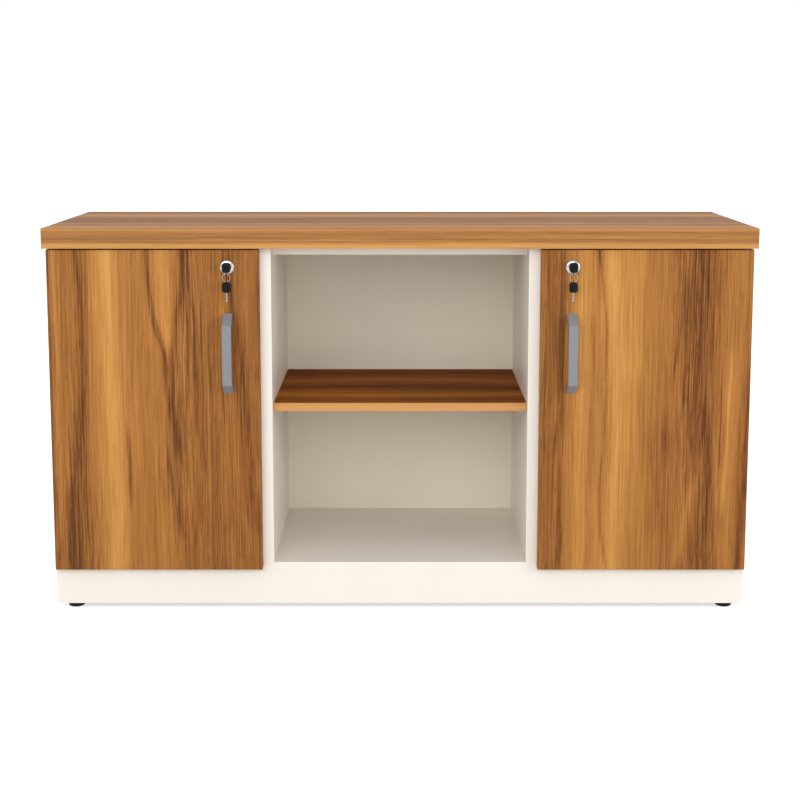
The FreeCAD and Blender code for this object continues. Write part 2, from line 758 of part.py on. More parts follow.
def prism_at(at, radius, low, high, sides=8):
    """An upright prism round a point in plan, its corners at a radius."""
    turns = [math.radians(360 * (i + 0.5) / sides) for i in range(sides + 1)]
    corners = [Vector(at.x + radius * math.cos(t), at.y + radius * math.sin(t), low) for t in turns]
    return Part.Face(Part.makePolygon(corners)).extrude(Vector(0, 0, high - low))


def bar(start, end, radius, low, high, waist=None):
    """A flat bar with eight-sided ends between two points in plan, from one level to another."""
    along = (end - start).normalize()
    half = waist / 2 if waist else radius * math.cos(math.radians(22.5))
    side = Vector(-along.y, along.x, 0) * half
    corners = [start + side, end + side, end - side, start - side, start + side]
    flat = Part.Face(Part.makePolygon(corners)).extrude(Vector(0, 0, high - low))
    flat.translate(Vector(0, 0, low))
    return flat.fuse([prism_at(point_of, radius, low, high) for point_of in (start, end)]).removeSplitter()


def pin(at, low, high):
    """An upright pivot pin. It is round at the front and the back, and has a flat on each side."""
    radius, half = size("link_pin_diameter / 2"), size("pin_across_flats / 2")
    turned = Part.makeCylinder(radius, high - low, Vector(at.x, at.y, low))
    return turned.common(Part.makeBox(2 * half, 2 * radius, high - low, Vector(at.x - half, at.y - radius, low)))


def eye(at, low, high):
    """The space for a pin's running fit, with eight flats that clear the pin."""
    return prism_at(at, size(EYE) / 2 / math.cos(math.radians(22.5)), low, high)


def one_solid(shape):
    """The only solid in a shape."""
    solids = shape.removeSplitter().Solids
    if len(solids) != 1:
        raise RuntimeError(f"{len(solids)} solids where one is meant")
    return solids[0]


def outer_link():
    """Two plates on either side of the arm's nose, joined by a web on their back edge."""
    start, end = point("arm_pivot"), point("cup_pivot")
    radius, level, width = size("link_end_radius"), size(outer_level), size(link_width)
    waist = size("link_waist")
    plates = [bar(start, end, radius, low, low + size("link_thickness"), waist) for low in (level, -width)]
    along = (end - start).normalize()
    back = Vector(along.y, -along.x, 0)
    thick = size("link_thickness") * 0.8
    near, far = start + along * (radius + 1.4), start + along * ((end - start).Length * 0.56)
    inner, outer = waist / 2 - thick, waist / 2
    corners = [p + back * d for p, d in ((near, inner), (far, inner), (far, outer), (near, outer))]
    web = Part.Face(Part.makePolygon(corners + corners[:1])).extrude(Vector(0, 0, 2 * width))
    web.translate(Vector(0, 0, -width))
    eyes = [eye(p, -width, width) for p in (start, end)]
    return one_solid(plates[0].fuse([plates[1], web]).cut(eyes))


def inner_link():
    """Two plates close beside the nose, joined by a boss that lies in the cup."""
    start, end = point("inner_arm_pivot"), point("inner_cup_pivot")
    radius, level = size("link_end_radius * 0.8"), size(inner_level)
    top = level + size("link_thickness")
    waist = size("inner_link_waist")
    plates = [bar(start, end, radius, low, low + size("link_thickness"), waist) for low in (level, -top)]
    boss = prism_at(end, radius, -top, top)
    return one_solid(plates[0].fuse([plates[1], boss]).cut(eye(start, -top, top)))


def hinge_cup():
    """A cup with a slot for the links, a flange for two screws, and pivot pins that stand in the slot's walls."""
    centre_u, back = size("cup_centre_u"), size("door_thickness")
    radius, wall = size("cup_diameter / 2"), size("cup_wall")
    to_back = Vector(0, 1, 0)
    floor = Vector(centre_u, back - size("cup_depth"), 0)
    body = Part.makeCylinder(radius, size("cup_depth"), floor, to_back)
    lip = size("flange_thickness")
    half_span = size("flange_screw_pitch / 2 + fitting_screw_head * 0.75")
    edge_u = size("hinge_panel_u") + 2
    screw_u = centre_u + size("flange_screw_setback")
    far_u = screw_u + size("fitting_screw_head * 0.75")
    outline_points = [(edge_u, -radius), (screw_u - 6, -half_span), (far_u, -half_span),
                      (centre_u + radius + 1.5, -6), (centre_u + radius + 1.5, 6), (far_u, half_span),
                      (screw_u - 6, half_span), (edge_u, radius)]
    corners = [Vector(u, back, z) for u, z in outline_points + outline_points[:1]]
    flange = Part.Face(Part.makePolygon(corners)).extrude(to_back * lip)
    inside = radius - wall
    play = size("cup_mouth_clearance")
    gap = size(link_width) + play
    hollow = Part.makeBox(2 * inside, back, 2 * gap, Vector(centre_u - inside, floor.y + size("cup_bottom"), -gap))
    mouth_v, notch_v = back - size("cup_mouth_depth"), back - size("cup_notch_depth")
    mouth_u, notch_u = size("arm_pivot_u + link_end_radius") + play, size("cup_notch_u")
    mouth = Part.makeBox(mouth_u - centre_u, back, 2 * gap, Vector(centre_u, mouth_v, -gap))
    notch = Part.makeBox(centre_u - notch_u, back, 2 * gap, Vector(notch_u, notch_v, -gap))
    shell = body.fuse(flange).cut([hollow, mouth, notch])
    level = size(outer_level)
    at, inner_at, thick = point("cup_pivot"), point("inner_cup_pivot"), size("link_pin_diameter")
    end = gap + wall / 2
    pins = [pin(at, level, end), pin(at, -end, -level)]
    pins += [prism_at(inner_at, thick / 2, level, end), prism_at(inner_at, thick / 2, -end, -level)]
    return one_solid(shell.fuse(pins))


def hinge_arm():
    """A channel that narrows to a nose with the two pivot pins, and its two setting screws."""
    nose = size("nose_half_width")
    pivot, inner_pivot = point("arm_pivot"), point("inner_arm_pivot")
    radius = size("link_end_radius * 0.8")
    shank_v = size("arm_end_v * 0.4")
    shank = Vector(pivot.x, shank_v, 0)
    tongue = bar(inner_pivot, pivot, radius, -nose, nose).fuse(bar(pivot, shank, radius, -nose, nose))
    half, wall, crown = size("arm_half_width"), size("arm_wall"), size("arm_reach")
    front, end = size("arm_end_v * 0.3"), size("arm_end_v")
    low = size("hinge_panel_u + plate_thickness + 3")
    channel = Part.makeBox(crown - low, end - front, 2 * half, Vector(low, front, -half))
    space = Part.makeBox(crown - wall - low, end, 2 * (half - wall), Vector(low, front + wall, wall - half))
    seat = size("hinge_panel_u + plate_rail_height")
    screws = []
    for v in (size("plate_line_v - 8"), size("plate_line_v + 20")):
        shank_and_head = (("fitting_screw_diameter", seat, crown), ("fitting_screw_head", crown, crown + 1))
        for across, start, stop in shank_and_head:
            part = prism_at(Vector(0, 0, 0), size(across) / 2, start, stop, sides=6)
            part.rotate(Vector(0, 0, 0), Vector(0, 1, 0), 90)
            part.translate(Vector(0, v, 0))
            screws.append(part)
    reach_out, reach_in = size(link_width), size(f"{inner_level} + link_thickness")
    pins = [pin(pivot, -reach_out, reach_out), pin(inner_pivot, -reach_in, reach_in)]
    return one_solid(channel.cut(space).fuse([tongue] + screws + pins))


def hinge_plate():
    """A mounting plate: two wings for its screws and a raised rail that the arm clips over."""
    base = size("hinge_panel_u")
    line, half = size("plate_line_v"), size("plate_wing_half_span")
    width = size("plate_wing_width")
    wings = Part.makeBox(size("plate_thickness"), width, 2 * half, Vector(base, line - width / 2, -half))
    rail_half = size("plate_rail_half_width")
    start, end = size("arm_end_v * 0.3 + arm_wall + 2"), size("arm_end_v - 3")
    rail = Part.makeBox(size("plate_rail_height"), end - start, 2 * rail_half, Vector(base, start, -rail_half))
    return one_solid(wings.fuse(rail))


HINGES = {"Low": "hinge_low", "High": "hinge_high"}


def at_both_hinges(shape, stem):
    """The same hinge piece at the lower and the upper hinge of the left door."""
    pieces = []
    for end, z in HINGES.items():
        pieces.append(put(feature(stem + end, shape), "-door_out", "door_face", z))
    return pieces


cup_screws, plate_screws = [], []
for end, z in HINGES.items():
    for side, sign in {"Under": "-", "Over": "+"}.items():
        cup_screws.append(screw(
            f"CupScrew{end}{side}",
            ("-door_out + cup_centre_u + flange_screw_setback", "door_back + flange_thickness",
             f"{z} {sign} flange_screw_pitch / 2"), "Y", "fitting_screw_length", back=True))
        plate_screws.append(screw(
            f"PlateScrew{end}{side}",
            ("-side_in + plate_thickness", "door_face + plate_line_v", f"{z} {sign} plate_screw_pitch / 2"),
            "X", "fitting_screw_length", back=True))

cups = together("LeftCups", at_both_hinges(hinge_cup(), "Cup"))
pair(cut("LeftCupsBored", cups, *cup_screws), "hinge_cups")
pair(together("LeftOuterLinks", at_both_hinges(outer_link(), "OuterLink")), "outer_links")
pair(together("LeftInnerLinks", at_both_hinges(inner_link(), "InnerLink")), "inner_links")
arms = together("LeftArms", at_both_hinges(hinge_arm(), "Arm"))
node(together("AllArms", [arms, mirror(arms, "RightArms")]), "hinge_arms")
plates = cut("LeftPlates", together("LeftPlateBlanks", at_both_hinges(hinge_plate(), "Plate")), *plate_screws)
node(together("AllPlates", [plates, mirror(plates, "RightPlates")]), "hinge_plates")
pair(together("LeftDoorScrews", cup_screws + handle_screws), "door_screws")

left_fitting_screws = together("LeftFittingScrews", plate_screws + strike_screws)
node(together("FittingScrews", [left_fitting_screws, mirror(left_fitting_screws, "RightFittingScrews")]),
     "fitting_screws")

# ---------------------------------------------------------------- boards with their bores

cup_holes = [
    rod(f"CupHole{end}", "cup_diameter", "cup_depth",
        ("-door_out + cup_centre_u", "door_back - cup_depth", z), "Y")
    for end, z in HINGES.items()
]
pair(cut("LeftDoor", door_board, barrel_hole, *cup_holes, *cup_screws, *handle_screws), "door_panel")
pair(cut("LeftSide", outer_side, pins["LeftOuter"], *plate_screws), "side")
pair(cut("LeftCupboardSide", cupboard_side, pins["LeftInner"], divider_screws), "inner_side")
pair(cut("LeftBaySide", bay_side, pins["BayLeft"], divider_screws), "bay_side")
strike_screws_right = mirror(together("StrikeScrews", strike_screws), "StrikeScrewsRight")
node(cut("TopBoard", core, top_screws, *strike_screws, strike_screws_right), "top_board")

# ---------------------------------------------------------------- checks and export

doc.recompute()
for thing in doc.Objects:
    if {"Invalid", "Error"} & set(thing.State):
        raise RuntimeError(f"{thing.Name} is {thing.State}")

os.makedirs("parts", exist_ok=True)
labels = set()
for thing in NODES:
    shape = thing.Shape
    if shape.isNull() or not shape.isValid() or not shape.Solids or shape.Volume <= 0:
        raise RuntimeError(f"{thing.Label} has no sound shape")
    if thing.Label in labels:
        raise RuntimeError(f"{thing.Label} is named twice")
    labels.add(thing.Label)
    shape.exportStep(f"parts/{thing.Label}.step")
print(f"{len(NODES)} sub-parts, {sum(len(t.Shape.Solids) for t in NODES)} solids")
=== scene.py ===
"""Looks of the office credenza: walnut laminate top, doors and shelf on an ivory board carcass.

Metres. +X is to the right, +Y to the back and +Z up. The CAD nodes stay where they are. This script
gives them node materials, adds the detailed metal and plastic pieces, and lights a pale studio.
"""
import json
import math

import bmesh
import bpy
from mathutils import Matrix, Vector


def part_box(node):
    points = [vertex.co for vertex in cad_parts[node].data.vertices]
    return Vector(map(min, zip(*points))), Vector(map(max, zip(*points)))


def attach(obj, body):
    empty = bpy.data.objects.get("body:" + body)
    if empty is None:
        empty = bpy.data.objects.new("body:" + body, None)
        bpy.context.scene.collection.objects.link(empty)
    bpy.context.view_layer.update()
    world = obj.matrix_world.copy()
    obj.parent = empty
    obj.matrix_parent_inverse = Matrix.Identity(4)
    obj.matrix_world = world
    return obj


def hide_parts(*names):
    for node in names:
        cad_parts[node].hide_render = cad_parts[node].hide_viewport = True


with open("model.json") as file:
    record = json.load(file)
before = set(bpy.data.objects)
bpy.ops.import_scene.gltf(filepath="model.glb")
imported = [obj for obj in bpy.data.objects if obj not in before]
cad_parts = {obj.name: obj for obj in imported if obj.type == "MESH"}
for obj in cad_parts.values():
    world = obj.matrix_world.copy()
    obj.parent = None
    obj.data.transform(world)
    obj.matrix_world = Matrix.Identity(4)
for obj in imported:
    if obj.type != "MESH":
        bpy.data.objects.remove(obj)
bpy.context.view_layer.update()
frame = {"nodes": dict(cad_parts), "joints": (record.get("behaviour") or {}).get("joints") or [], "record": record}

nodes = frame["nodes"]


# ---------------------------------------------------------------- node graph helpers

def linear(red, green, blue):
    """A display colour, 0 to 255, as the linear colour that shaders use."""
    def channel(level):
        level /= 255
        return level / 12.92 if level <= 0.04045 else ((level + 0.055) / 1.055) ** 2.4
    return (channel(red), channel(green), channel(blue), 1)


class Graph:
    """A thin layer over a node tree: numbers and sockets are used alike as inputs."""

    def __init__(self, tree):
        self.tree = tree

    def add(self, kind, **settings):
        node = self.tree.nodes.new(kind)
        for name, value in settings.items():
            setattr(node, name, value)
        return node

    def feed(self, socket, value):
        if isinstance(value, bpy.types.NodeSocket):
            self.tree.links.new(value, socket)
        elif value is not None:
            socket.default_value = value

    def math(self, operation, a, b=None):
        node = self.add("ShaderNodeMath", operation=operation)
        for socket, value in zip(node.inputs, (a, b)):
            self.feed(socket, value)
        return node.outputs[0]

    def plus(self, *terms):
        total = terms[0]
        for term in terms[1:]:
            total = self.math("ADD", total, term)
        return total

    def times(self, a, b):
        return self.math("MULTIPLY", a, b)

    def minus(self, a, b):
        return self.math("SUBTRACT", a, b)

    def vector(self, x, y, z):
        node = self.add("ShaderNodeCombineXYZ")
        for socket, value in zip(node.inputs, (x, y, z)):
            self.feed(socket, value)
        return node.outputs[0]

    def noise(self, vector, detail=2.0, roughness=0.5, distortion=0.0, scale=1.0):
        """Noise about zero, from about -0.5 to 0.5."""
        node = self.add("ShaderNodeTexNoise")
        self.feed(node.inputs["Vector"], vector)
        self.feed(node.inputs["Scale"], scale)
        self.feed(node.inputs["Detail"], detail)
        self.feed(node.inputs["Roughness"], roughness)
        self.feed(node.inputs["Distortion"], distortion)
        return self.minus(node.outputs[0], 0.5)

    def stretched(self, place, scales, **settings):
        """Noise with a scale of its own along each axis."""
        return self.noise(self.vector(*(self.times(p, s) for p, s in zip(place, scales))), **settings)

    def smooth(self, value, low, high):
        """0 below low, 1 above high, and a soft step between."""
        node = self.add("ShaderNodeMapRange", interpolation_type="SMOOTHSTEP")
        for socket, number in zip(node.inputs, (value, low, high, 0.0, 1.0)):
            self.feed(socket, number)
        return node.outputs[0]

    def ramp(self, factor, stops):
        node = self.add("ShaderNodeValToRGB")
        ramp = node.color_ramp
        while len(ramp.elements) < len(stops):
            ramp.elements.new(0.5)
        for element, (place, colour) in zip(ramp.elements, stops):
            element.position = place
            element.color = colour
        self.feed(node.inputs[0], factor)
        return node.outputs[0]

    def shades(self, factor, dark, light):
        """A dark display colour where the factor is low and a light one where it is high."""
        return self.ramp(factor, [(0.2, linear(*dark)), (0.8, linear(*light))])

    def blend(self, factor, a, b, how="MIX"):
        node = self.add("ShaderNodeMix", data_type="RGBA", blend_type=how, clamp_result=False)
        self.feed(node.inputs[0], factor)
        self.feed(node.inputs[6], a)
        self.feed(node.inputs[7], b)
        return node.outputs[2]

    def place(self):
        """The object coordinates, as three sockets."""
        where = self.add("ShaderNodeTexCoord").outputs["Object"]
        split = self.add("ShaderNodeSeparateXYZ")
        self.feed(split.inputs[0], where)
        return split.outputs[0], split.outputs[1], split.outputs[2]


def group(name, inputs, outputs, build):
    """A node group with float inputs and outputs of the kinds given, filled in by a function."""
    tree = bpy.data.node_groups.new(name, "ShaderNodeTree")
    for socket in inputs:
        tree.interface.new_socket(socket, in_out="INPUT", socket_type="NodeSocketFloat")
    for socket, kind in outputs.items():
        tree.interface.new_socket(socket, in_out="OUTPUT", socket_type=kind)
    graph = Graph(tree)
    entry, end = graph.add("NodeGroupInput"), graph.add("NodeGroupOutput")
    made = build(graph, {socket: entry.outputs[socket] for socket in inputs})
    for socket, value in made.items():
        graph.feed(end.inputs[socket], value)
    return tree


def use(graph, tree, **values):
    """One use of a node group, with its inputs given by name."""
    node = graph.add("ShaderNodeGroup", node_tree=tree)
    for name, value in values.items():
        graph.feed(node.inputs[name], value)
    return node.outputs


def material(name, colour, build, roughness=0.5, metallic=0.0, specular=0.5):
    """A Principled material. Its build function gives values or sockets for the inputs that it names."""
    made = bpy.data.materials.new(name)
    made.use_nodes = True
    made.diffuse_color = colour
    shader = made.node_tree.nodes["Principled BSDF"]
    shader.inputs["Base Color"].default_value = colour
    shader.inputs["Roughness"].default_value = roughness
    shader.inputs["Metallic"].default_value = metallic
    shader.inputs["Specular IOR Level"].default_value = specular
    graph = Graph(made.node_tree)
    for socket, value in build(graph).items():
        graph.feed(shader.inputs[socket], value)
    return made


def bump(graph, height, distance, strength, edge=None):
    """A normal from a height, on edges rounded to a radius where one is given."""
    node = graph.add("ShaderNodeBump")
    graph.feed(node.inputs["Strength"], strength)
    graph.feed(node.inputs["Distance"], distance)
    graph.feed(node.inputs["Height"], height)
    if edge:
        rounded = graph.add("ShaderNodeBevel", samples=6)
        graph.feed(rounded.inputs["Radius"], edge)
        graph.feed(node.inputs["Normal"], rounded.outputs[0])
    return node.outputs[0]


# ---------------------------------------------------------------- walnut laminate

# The radius that the edges of boards and moulded plastic look rounded to.
SOFT_EDGE = 0.0006

PLAIN_WALNUT = linear(176, 119, 60)
GOLDEN_WALNUT = [
    (0.0, linear(212, 161, 93)), (0.2, linear(199, 145, 75)), (0.4, linear(178, 121, 58)),
    (0.6, linear(148, 95, 43)), (0.8, linear(115, 69, 28)), (1.0, linear(86, 49, 19)),
]
REDDISH_WALNUT = [
    (0.0, linear(209, 156, 91)), (0.2, linear(194, 138, 72)), (0.4, linear(173, 115, 55)),
    (0.6, linear(143, 89, 40)), (0.8, linear(110, 64, 27)), (1.0, linear(82, 45, 18)),
]

# A streak has a core and a wider, weaker skirt. A short one fades over a part of the board's length.
STREAK_CORE = 0.7
STREAK_SKIRT = 0.12
STREAK_FADE = 0.05


def streak(graph, across, along, path, widths, strength, reach=None):
    """A soft line along the grain. Its path is (along, across) points, its reach where it fades out."""
    curve = graph.add("ShaderNodeFloatCurve")
    points = curve.mapping.curves[0].points
    for point, (start, place) in zip(points, (path[0], path[-1])):
        point.location = (start, place)
    for start, place in path[1:-1]:
        points.new(start, place)
    curve.mapping.update()
    graph.feed(curve.inputs["Value"], along)
    width = graph.plus(widths[0], graph.times(widths[1] - widths[0], along))
    away = graph.math("DIVIDE", graph.minus(across, curve.outputs[0]), width)
    square = graph.times(away, away)
    core = graph.math("EXPONENT", graph.times(square, -1.0))
    skirt = graph.math("EXPONENT", graph.times(square, -STREAK_SKIRT))
    body = graph.plus(graph.times(core, STREAK_CORE), graph.times(skirt, 1 - STREAK_CORE))
    if reach:
        first, last = reach
        body = graph.times(body, graph.smooth(along, first - STREAK_FADE, first + STREAK_FADE))
        body = graph.times(body, graph.smooth(along, last + STREAK_FADE, last - STREAK_FADE))
    return graph.times(body, strength)


def streaks(graph, across, along, rows):
    """The sum of the listed streaks."""
    total = 0.0
    for row in rows:
        total = graph.plus(total, streak(graph, across, along, *row))
    return total


# How far the figure strays sideways from a straight grain, in metres for a unit of noise.
FIGURE_WANDER = 0.016
FIGURE_RIPPLE = 0.004
# What each layer adds to the tone. The fine layers add more inside a dark streak, by its strength, and
# the streak's own darkness levels off.
COARSE_LAYERS = {"bands": 0.34, "lines": 0.29, "pores": 0.07}
FINE_LAYERS = {"strands": (0.34, 1.7), "fibres": (0.55, 1.6), "hairs": (0.09, 0.9), "flecks": (0.05, 0.5)}
STREAK_LEVELLING = 0.75
FIBRE_HEIGHT = 0.6
PORE_DEPTH = 0.8


def build_walnut(graph, at):
    """Walnut figure from a place in the board: bands, streaks, fibres and pores along the grain."""
    def grain(across, wide, long, **settings):
        """Noise with so many features in a metre across the grain, and so many along it."""
        return graph.stretched((across, at["Deep"], at["Along"]), (wide, wide, long), **settings)

    wander = graph.times(grain(at["Across"], 5.0, 1.6), FIGURE_WANDER)
    ripple = graph.times(grain(at["Across"], 30.0, 8.0), FIGURE_RIPPLE)
    across = graph.plus(at["Across"], wander, ripple)
    layers = {
        "bands": grain(across, 17.0, 0.8, detail=3.0, roughness=0.6),
        "lines": grain(across, 85.0, 3.0, detail=4.0, roughness=0.65),
        "strands": grain(across, 240.0, 4.5, detail=3.0, roughness=0.7),
        "fibres": grain(across, 560.0, 11.0, detail=3.0, roughness=0.75),
        "hairs": graph.smooth(grain(across, 330.0, 5.0, detail=2.0, roughness=0.7), 0.06, 0.18),
        "flecks": graph.smooth(grain(across, 420.0, 22.0, detail=2.0, roughness=0.7), 0.05, 0.20),
        "pores": graph.smooth(grain(across, 1000.0, 45.0, detail=1.0), 0.12, 0.24),
    }
    placed = at["Streaks"]
    dark = graph.math("MAXIMUM", placed, 0.0)
    figure = [graph.times(layers[name], share) for name, share in COARSE_LAYERS.items()]
    for name, (share, more) in FINE_LAYERS.items():
        figure.append(graph.times(layers[name], graph.plus(share, graph.times(dark, more))))
    levelled = graph.times(placed, graph.minus(1.0, graph.times(dark, STREAK_LEVELLING)))
    tone = graph.plus(at["Tone"], *figure, levelled)
    warm = graph.smooth(grain(across, 12.0, 0.9, detail=3.0), -0.12, 0.12)
    colour = graph.blend(warm, graph.ramp(tone, GOLDEN_WALNUT), graph.ramp(tone, REDDISH_WALNUT))
    raised, sunk = graph.times(layers["fibres"], FIBRE_HEIGHT), graph.times(layers["pores"], PORE_DEPTH)
    return {"Colour": colour, "Height": graph.minus(raised, sunk), "Tone": tone}


WALNUT = group("walnut", ["Across", "Deep", "Along", "Tone", "Streaks"],
               {"Colour": "NodeSocketColor", "Height": "NodeSocketFloat", "Tone": "NodeSocketFloat"},
               build_walnut)


def walnut_finish(graph, made):
    """The inputs of a walnut material. Dark figure is a little rougher."""
    return {"Base Color": made["Colour"], "Roughness": graph.plus(0.44, graph.times(made["Tone"], 0.12)),
            "Normal": bump(graph, made["Height"], 0.00012, 0.3, SOFT_EDGE)}


# How far a door's streaks wander and how ragged their edges are, in metres for a unit of noise.
DOOR_WANDER = 0.008
DOOR_FEATHER = 0.012


def door_walnut(name, seed, base, rows):
    """Laminate for one door, its grain upright. Places on it are fractions of its width and height."""
    low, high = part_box(name)

    def build(graph):
        x, y, z = graph.place()
        wander = graph.stretched((x, seed, z), (9.0, 1.0, 5.0), detail=3.0, roughness=0.6)
        feather = graph.stretched((x, seed, z), (320.0, 1.0, 7.0), detail=3.0, roughness=0.7)
        bent = graph.plus(x, graph.times(wander, DOOR_WANDER), graph.times(feather, DOOR_FEATHER))
        across = graph.times(graph.minus(bent, low.x), 1 / (high.x - low.x))
        along = graph.times(graph.minus(high.z, z), 1 / (high.z - low.z))
        placed = streaks(graph, across, along, rows)
        made = use(graph, WALNUT, Across=graph.plus(x, seed), Deep=y, Along=z, Tone=base, Streaks=placed)
        return walnut_finish(graph, made)

    return material(name + "_walnut", PLAIN_WALNUT, build, specular=0.15)


# Each row is a path of (down, across) points, the widths at the top and the bottom, the strength, where
# dark is positive, and for a short streak its start and end.
LEFT_STREAKS = [
    (((0, .080), (1, .060)), (.06, .06), .06),
    (((0, .670), (1, .700)), (.07, .08), .09),
    (((0, .850), (1, .870)), (.12, .12), .06),
    (((0, .004), (.5, .006), (1, .004)), (.006, .007), .22),
    (((0, .030), (.6, .033), (1, .035)), (.008, .010), -.15),
    (((0, .150), (.3, .158), (.5, .145), (.65, .125), (.8, .105), (1, .105)), (.016, .034), .26),
    (((0, .135), (.25, .165), (.5, .152), (.62, .130), (.75, .095), (1, .085)), (.005, .007), .22),
    (((0, .190), (.3, .175), (.55, .170), (.75, .160), (1, .170)), (.004, .006), .12),
    (((0, .150), (.8, .130), (1, .150)), (.03, .07), .14, (.74, 1.2)),
    (((0, .290), (.3, .285), (.6, .300), (1, .310)), (.042, .040), -.26),
    (((0, .360), (.56, .365), (.66, .375), (.78, .372), (1, .370)), (.005, .006), .23, (.57, .76)),
    (((0, .475), (.14, .483), (.22, .497), (.28, .525), (.34, .555), (1, .600)), (.008, .007), .31,
     (-.2, .36)),
    (((0, .470), (.2, .505), (.26, .530), (.36, .565), (.5, .585), (1, .600)), (.005, .006), .22, (.16, .52)),
    (((0, .545), (.2, .550), (.34, .560), (1, .570)), (.046, .010), -.24, (-.2, .31)),
    (((0, .645), (.14, .630), (.22, .605), (.33, .590), (1, .590)), (.012, .008), .29, (-.2, .42)),
    (((0, .660), (.3, .650), (.55, .640), (1, .640)), (.036, .045), .14, (-.2, .60)),
    (((0, .668), (.3, .662), (.5, .652), (1, .650)), (.006, .006), .21, (-.2, .55)),
    (((0, .700), (.2, .695), (.55, .692), (1, .690)), (.005, .005), .22, (.16, .56)),
    (((0, .560), (.45, .575), (.55, .595), (.64, .618), (1, .630)), (.022, .010), .31, (.44, .64)),
    (((0, .550), (.4, .555), (.5, .575), (.6, .600), (1, .610)), (.006, .006), .23, (.36, .62)),
    (((0, .560), (.65, .562), (.75, .580), (.82, .600), (.87, .612), (1, .620)), (.010, .014), .31,
     (.64, .87)),
    (((0, .620), (.7, .620), (1, .660)), (.06, .07), .09, (.60, 1.2)),
    (((0, .865), (.1, .868), (.2, .880), (.3, .905), (.5, .930), (.7, .955), (1, .965)), (.010, .012), .27,
     (-.2, .85)),
    (((0, .840), (.3, .875), (.5, .900), (.7, .925), (1, .940)), (.004, .004), .16),
    (((0, .800), (1, .820)), (.05, .04), .05),
    (((0, .995), (1, .990)), (.008, .010), .17),
]
RIGHT_STREAKS = [
    (((0, .040), (1, .050)), (.06, .06), .08),
    (((0, .740), (1, .760)), (.09, .10), .10),
    (((0, .910), (1, .900)), (.03, .03), -.07),
    (((0, .040), (1, .040)), (.04, .04), .07),
    (((0, .095), (.3, .100), (.5, .100), (.62, .082), (.78, .100), (.86, .104), (1, .090)), (.010, .016),
     .27),
    (((0, .200), (1, .190)), (.035, .040), -.14),
    (((0, .330), (.4, .370), (.8, .360), (1, .340)), (.045, .050), -.22),
    (((0, .450), (1, .450)), (.05, .05), -.12, (-.2, .4)),
    (((0, .270), (.15, .300), (.35, .315), (.6, .310), (.75, .295), (1, .330)), (.006, .006), .20),
    (((0, .280), (1, .290)), (.020, .020), .21, (-.2, .04)),
    (((0, .200), (.3, .245), (.6, .250), (1, .240)), (.004, .004), .14, (.2, .75)),
    (((0, .750), (.2, .755), (.35, .745), (1, .740)), (.022, .018), .31, (-.2, .43)),
    (((0, .745), (.3, .750), (1, .740)), (.075, .060), .12, (-.2, .62)),
    (((0, .820), (.15, .825), (.3, .810), (1, .800)), (.006, .005), .22, (-.2, .34)),
    (((0, .690), (.2, .675), (.3, .655), (.37, .640), (1, .630)), (.006, .008), .22, (.12, .38)),
    (((0, .700), (.3, .690), (.45, .685), (1, .680)), (.004, .005), .17, (.1, .5)),
    (((0, .740), (.45, .755), (.55, .775), (.68, .810), (.85, .805), (1, .815)), (.012, .018), .31,
     (.48, 1.2)),
    (((0, .740), (.5, .760), (.7, .790), (1, .790)), (.05, .05), .10, (.46, 1.2)),
    (((0, .600), (.7, .620), (1, .660)), (.08, .09), .09, (.55, 1.2)),
    (((0, .760), (.7, .750), (.8, .720), (1, .660)), (.02, .03), -.16, (.70, .98)),
    (((0, .900), (.5, .900), (.7, .890), (1, .885)), (.008, .010), -.22, (.3, .8)),
    (((0, .995), (.6, .992), (.85, .975), (1, .960)), (.008, .016), .29, (.35, 1.2)),
    (((0, .870), (1, .860)), (.004, .004), .10),
]
left_walnut = door_walnut("left_door_edge_band", 3.1, 0.48, LEFT_STREAKS)
right_walnut = door_walnut("right_door_edge_band", 7.4, 0.47, RIGHT_STREAKS)


# How far the figure and the edge bands' streaks wander, in metres for a unit of noise.
LEVEL_WANDER = 0.016
BAND_WANDER = 0.006
# How far inside a board's outline the look of its edge band starts, and how far inside it is full.
BAND_START = 0.0015
BAND_FULL = 0.0005
# The pale colour that an edge band is blended towards. On the shelf's front edge it is painted light; on the top's
# edge it only pales the band a little.
BAND_HAZE = linear(232, 190, 140)


